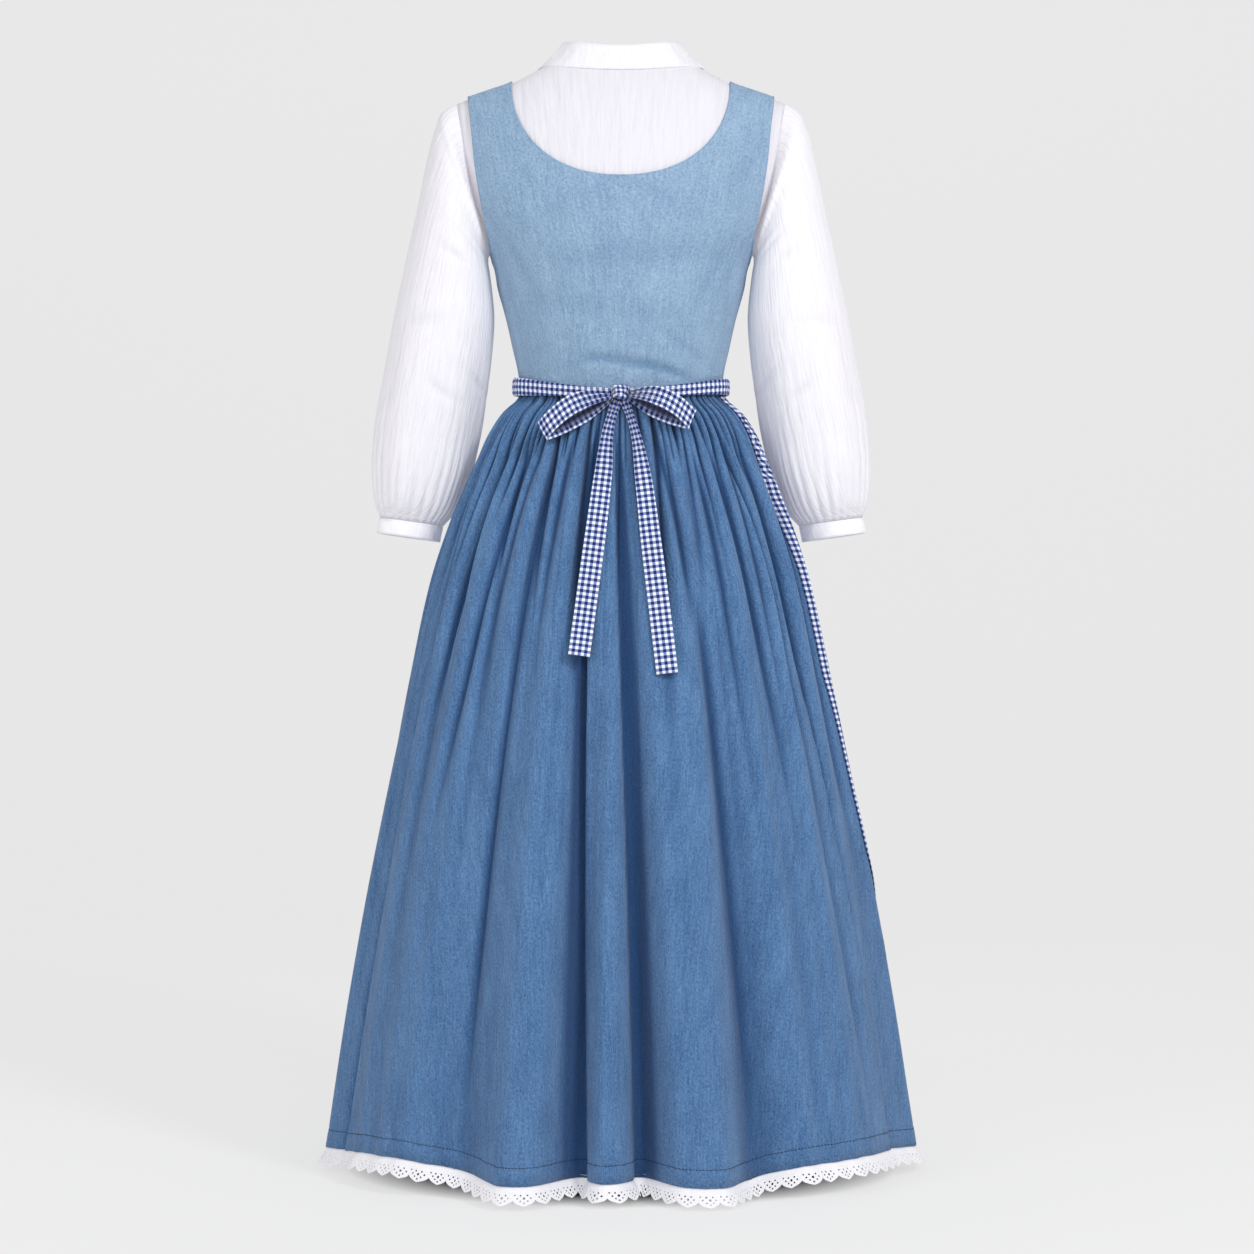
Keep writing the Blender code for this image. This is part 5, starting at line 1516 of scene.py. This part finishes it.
def knot():
    """The bow's knot, a short block of drawn cloth with folds that wrap over it."""
    bm = bmesh.new()
    layer = bm.loops.layers.uv.new("cloth")
    deep = bm.verts.layers.float.new("fold_shade")
    rings = [[] for _ in range(KNOT_RINGS + 1)]
    for i, ring in enumerate(rings):
        out, z = np.sin(np.pi * i / KNOT_RINGS), -np.cos(np.pi * i / KNOT_RINGS)
        for turn in np.arange(KNOT_SIDES if 0 < i < KNOT_RINGS else 1) * 2 * np.pi / KNOT_SIDES:
            x, y = out * np.cos(turn), out * np.sin(turn)
            squared = Vector([np.sign(v) * abs(v) ** 0.75 * 0.5 for v in (x, y, z)])
            wraps = np.cos(5.5 * x + 2.2 * z + 0.5) + 0.6 * np.cos(7 * z - 4 * x + 1)
            pinched = 1 - 0.16 * (1 - z * z) * x * x
            vert = bm.verts.new(KNOT + squared * KNOT_SIZE * float(pinched * (1 + 0.085 * wraps)))
            # Painted shade in the troughs of the wrapping folds
            vert[deep] = float(np.clip(-wraps * 0.7 - 0.1, 0, 0.95))
            ring.append(vert)
    join_rings(bm, rings)
    for face in bm.faces:
        for loop in face.loops:
            place = loop.vert.co - KNOT
            loop[layer].uv = (place.x * 1.2 + place.y * 0.6, place.z * 1.3 + place.y * 0.7)
    made = finish_mesh("knot_cloth", bm, CHECKS)
    dress(made, "bow_knot")


def bow():
    band("waistband_cloth", "apron_waistband", WAISTBAND_END, 360 - WAISTBAND_END, WAISTBAND_COLUMNS)
    start, end = TIE_ENDS
    band("tie_right_cloth", "tie_right", start, end, TIE_COLUMNS, (TIE_NARROWED, RIGHT_TIE_WIDENED))
    band("tie_left_cloth", "tie_left", -end, -start, TIE_COLUMNS, (LEFT_TIE_WIDENED, TIE_NARROWED))
    knot()
    bow_loop("left", -1, LEFT_LOOP_REACH, LEFT_LOOP_DROP)
    bow_loop("right", 1, RIGHT_LOOP_REACH, RIGHT_LOOP_DROP)
    tail("left", LEFT_TAIL, LEFT_TAIL_CLEAR)
    tail("right", RIGHT_TAIL, RIGHT_TAIL_CLEAR)


# Buttons

# A button's section from its face round to its back, as shares of its radius and half its thickness
BUTTON_PROFILE = (
    (0.0, 0.35), (0.45, 0.30), (0.62, 0.45), (0.74, 0.90), (0.86, 1.0), (0.96, 0.7), (1.0, 0.1), (0.97, -0.6),
    (0.85, -1.0), (0.0, -1.0),
)
BUTTON_SIDES = 40


def button(node):
    """A turned button in place of the plain one, with a raised rim and a dished middle."""
    corners = np.array([vert.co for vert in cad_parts[node].data.vertices])
    centre = corners.mean(axis=0)
    facing = Vector(np.linalg.eigh(np.cov((corners - centre).T))[1][:, 0])
    if facing.y < 0:
        facing = -facing
    turn = facing.to_track_quat("Z", "Y").to_matrix()
    local = (corners - centre) @ np.array(turn)
    radius, half = np.abs(local[:, 0]).max(), np.abs(local[:, 2]).max()
    bm = bmesh.new()
    layer = bm.loops.layers.uv.new("cloth")
    rings = []
    for r, z in BUTTON_PROFILE:
        turns = np.arange(BUTTON_SIDES if r else 1) * 2 * np.pi / BUTTON_SIDES
        places = [Vector((r * radius * np.cos(a), r * radius * np.sin(a), z * half)) for a in turns]
        rings.append([bm.verts.new(Vector(centre) + turn @ place) for place in places])
    join_rings(bm, rings[::-1])
    flat_uv(bm, layer)
    dress(finish_mesh(f"{node}_turned", bm, HORN), node)


def buttons():
    for node in sorted(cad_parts):
        if "button" in node:
            button(node)


# The studio

# The floor: how far it lies below the solids' lace, how far it reaches, and where and how it sweeps up. Then
# its paper's grey and its even glow, the glow all round, and how far out from the garment's middle the
# paper's glow starts. Within that the paper has no glow, a painted shadow under the garment, where the
# lamps' own shadows show as well
FLOOR_BELOW = 0.0110
FLOOR_REACH = 9.0
SWEEP_START, SWEEP_RADIUS = 3.0, 2.5
PAPER_GREY = 0.24
PAPER_GLOW = 0.635
SKY_GLOW = 0.46
SHADOW_X, SHADOW_Y = 0.36, 0.30


def stage():
    """A sheet of paper that runs up behind."""
    floor_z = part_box("hem_lace")[0].z - FLOOR_BELOW
    turns = np.linspace(0, np.pi / 2, 17)[1:]
    profile = [(-FLOOR_REACH, 0.0), (SWEEP_START, 0.0)]
    profile += [(SWEEP_START + SWEEP_RADIUS * np.sin(a), SWEEP_RADIUS * (1 - np.cos(a))) for a in turns]
    profile += [(SWEEP_START + SWEEP_RADIUS, FLOOR_REACH)]
    bm = bmesh.new()
    rows = [[bm.verts.new((x, y, floor_z + z)) for x in (-FLOOR_REACH, FLOOR_REACH)] for y, z in profile]
    for first, second in zip(rows, rows[1:]):
        bm.faces.new([first[0], first[1], second[1], second[0]]).smooth = True
    made, tree, shader = new_material("paper", 1.0)
    shader.inputs["Base Color"].default_value = (PAPER_GREY, PAPER_GREY, PAPER_GREY, 1)
    shader.inputs["Specular IOR Level"].default_value = 0.0
    place = add_node(tree, "ShaderNodeNewGeometry").outputs["Position"]
    shape = (1 / SHADOW_X, 1 / SHADOW_Y, 0.0)
    flat = add_node(tree, "ShaderNodeVectorMath", [(0, place), (1, shape)], operation="MULTIPLY").outputs[0]
    away = add_node(tree, "ShaderNodeVectorMath", [(0, flat)], operation="LENGTH").outputs["Value"]
    # Painted shadow: no glow within the ellipse round the garment's middle, full glow outside it
    glow = mix(tree, ramp(tree, away, 0.75, 1.0), (0.0, 0.0, 0.0), (1.0, 1.0, 1.0))
    tree.links.new(glow, shader.inputs["Emission Color"])
    shader.inputs["Emission Strength"].default_value = PAPER_GLOW
    finish_mesh("paper_sweep", bm, made)


def light(name, place, target, size, power):
    """A round soft lamp at a place, turned to its target."""
    lamp = bpy.data.lights.new(name, "AREA")
    lamp.shape = "DISK"
    lamp.size = size
    lamp.energy = power
    made = bpy.data.objects.new(name, lamp)
    made.location = place
    made.rotation_mode = "QUATERNION"
    made.rotation_quaternion = (Vector(target) - Vector(place)).to_track_quat("-Z", "Y")
    bpy.context.scene.collection.objects.link(made)


def studio():
    scene = bpy.context.scene
    scene.world = bpy.data.worlds.new("studio")
    scene.world.use_nodes = True
    background = scene.world.node_tree.nodes["Background"]
    background.inputs["Color"].default_value = (1.0, 1.0, 1.0, 1)
    background.inputs["Strength"].default_value = SKY_GLOW
    light("key", (2.4, -3.1, 1.9), (0, 0, -0.6), size=1.1, power=92)
    light("fill", (-2.8, -2.8, 0.6), (0, 0, -0.7), size=2.0, power=34)
    light("front", (0.3, -4.2, 0.9), (0, 0, -0.7), size=2.5, power=34)
    camera = bpy.data.cameras.new("camera")
    camera.sensor_width = SENSOR_MM
    camera.lens = SENSOR_MM * -CAMERA.y / (PHOTO_SIDE * METRES_PER_PIXEL)
    camera.clip_end = 50.0
    scene.camera = bpy.data.objects.new("camera", camera)
    scene.camera.location = CAMERA
    scene.camera.rotation_euler = (np.pi / 2, 0, 0)
    scene.collection.objects.link(scene.camera)
    scene.view_settings.view_transform = "Standard"


studio()
stage()
bodice()
blouse()
collar()
sleeves()
skirt_cloths()
apron()
hem_lace()
bow()
buttons()
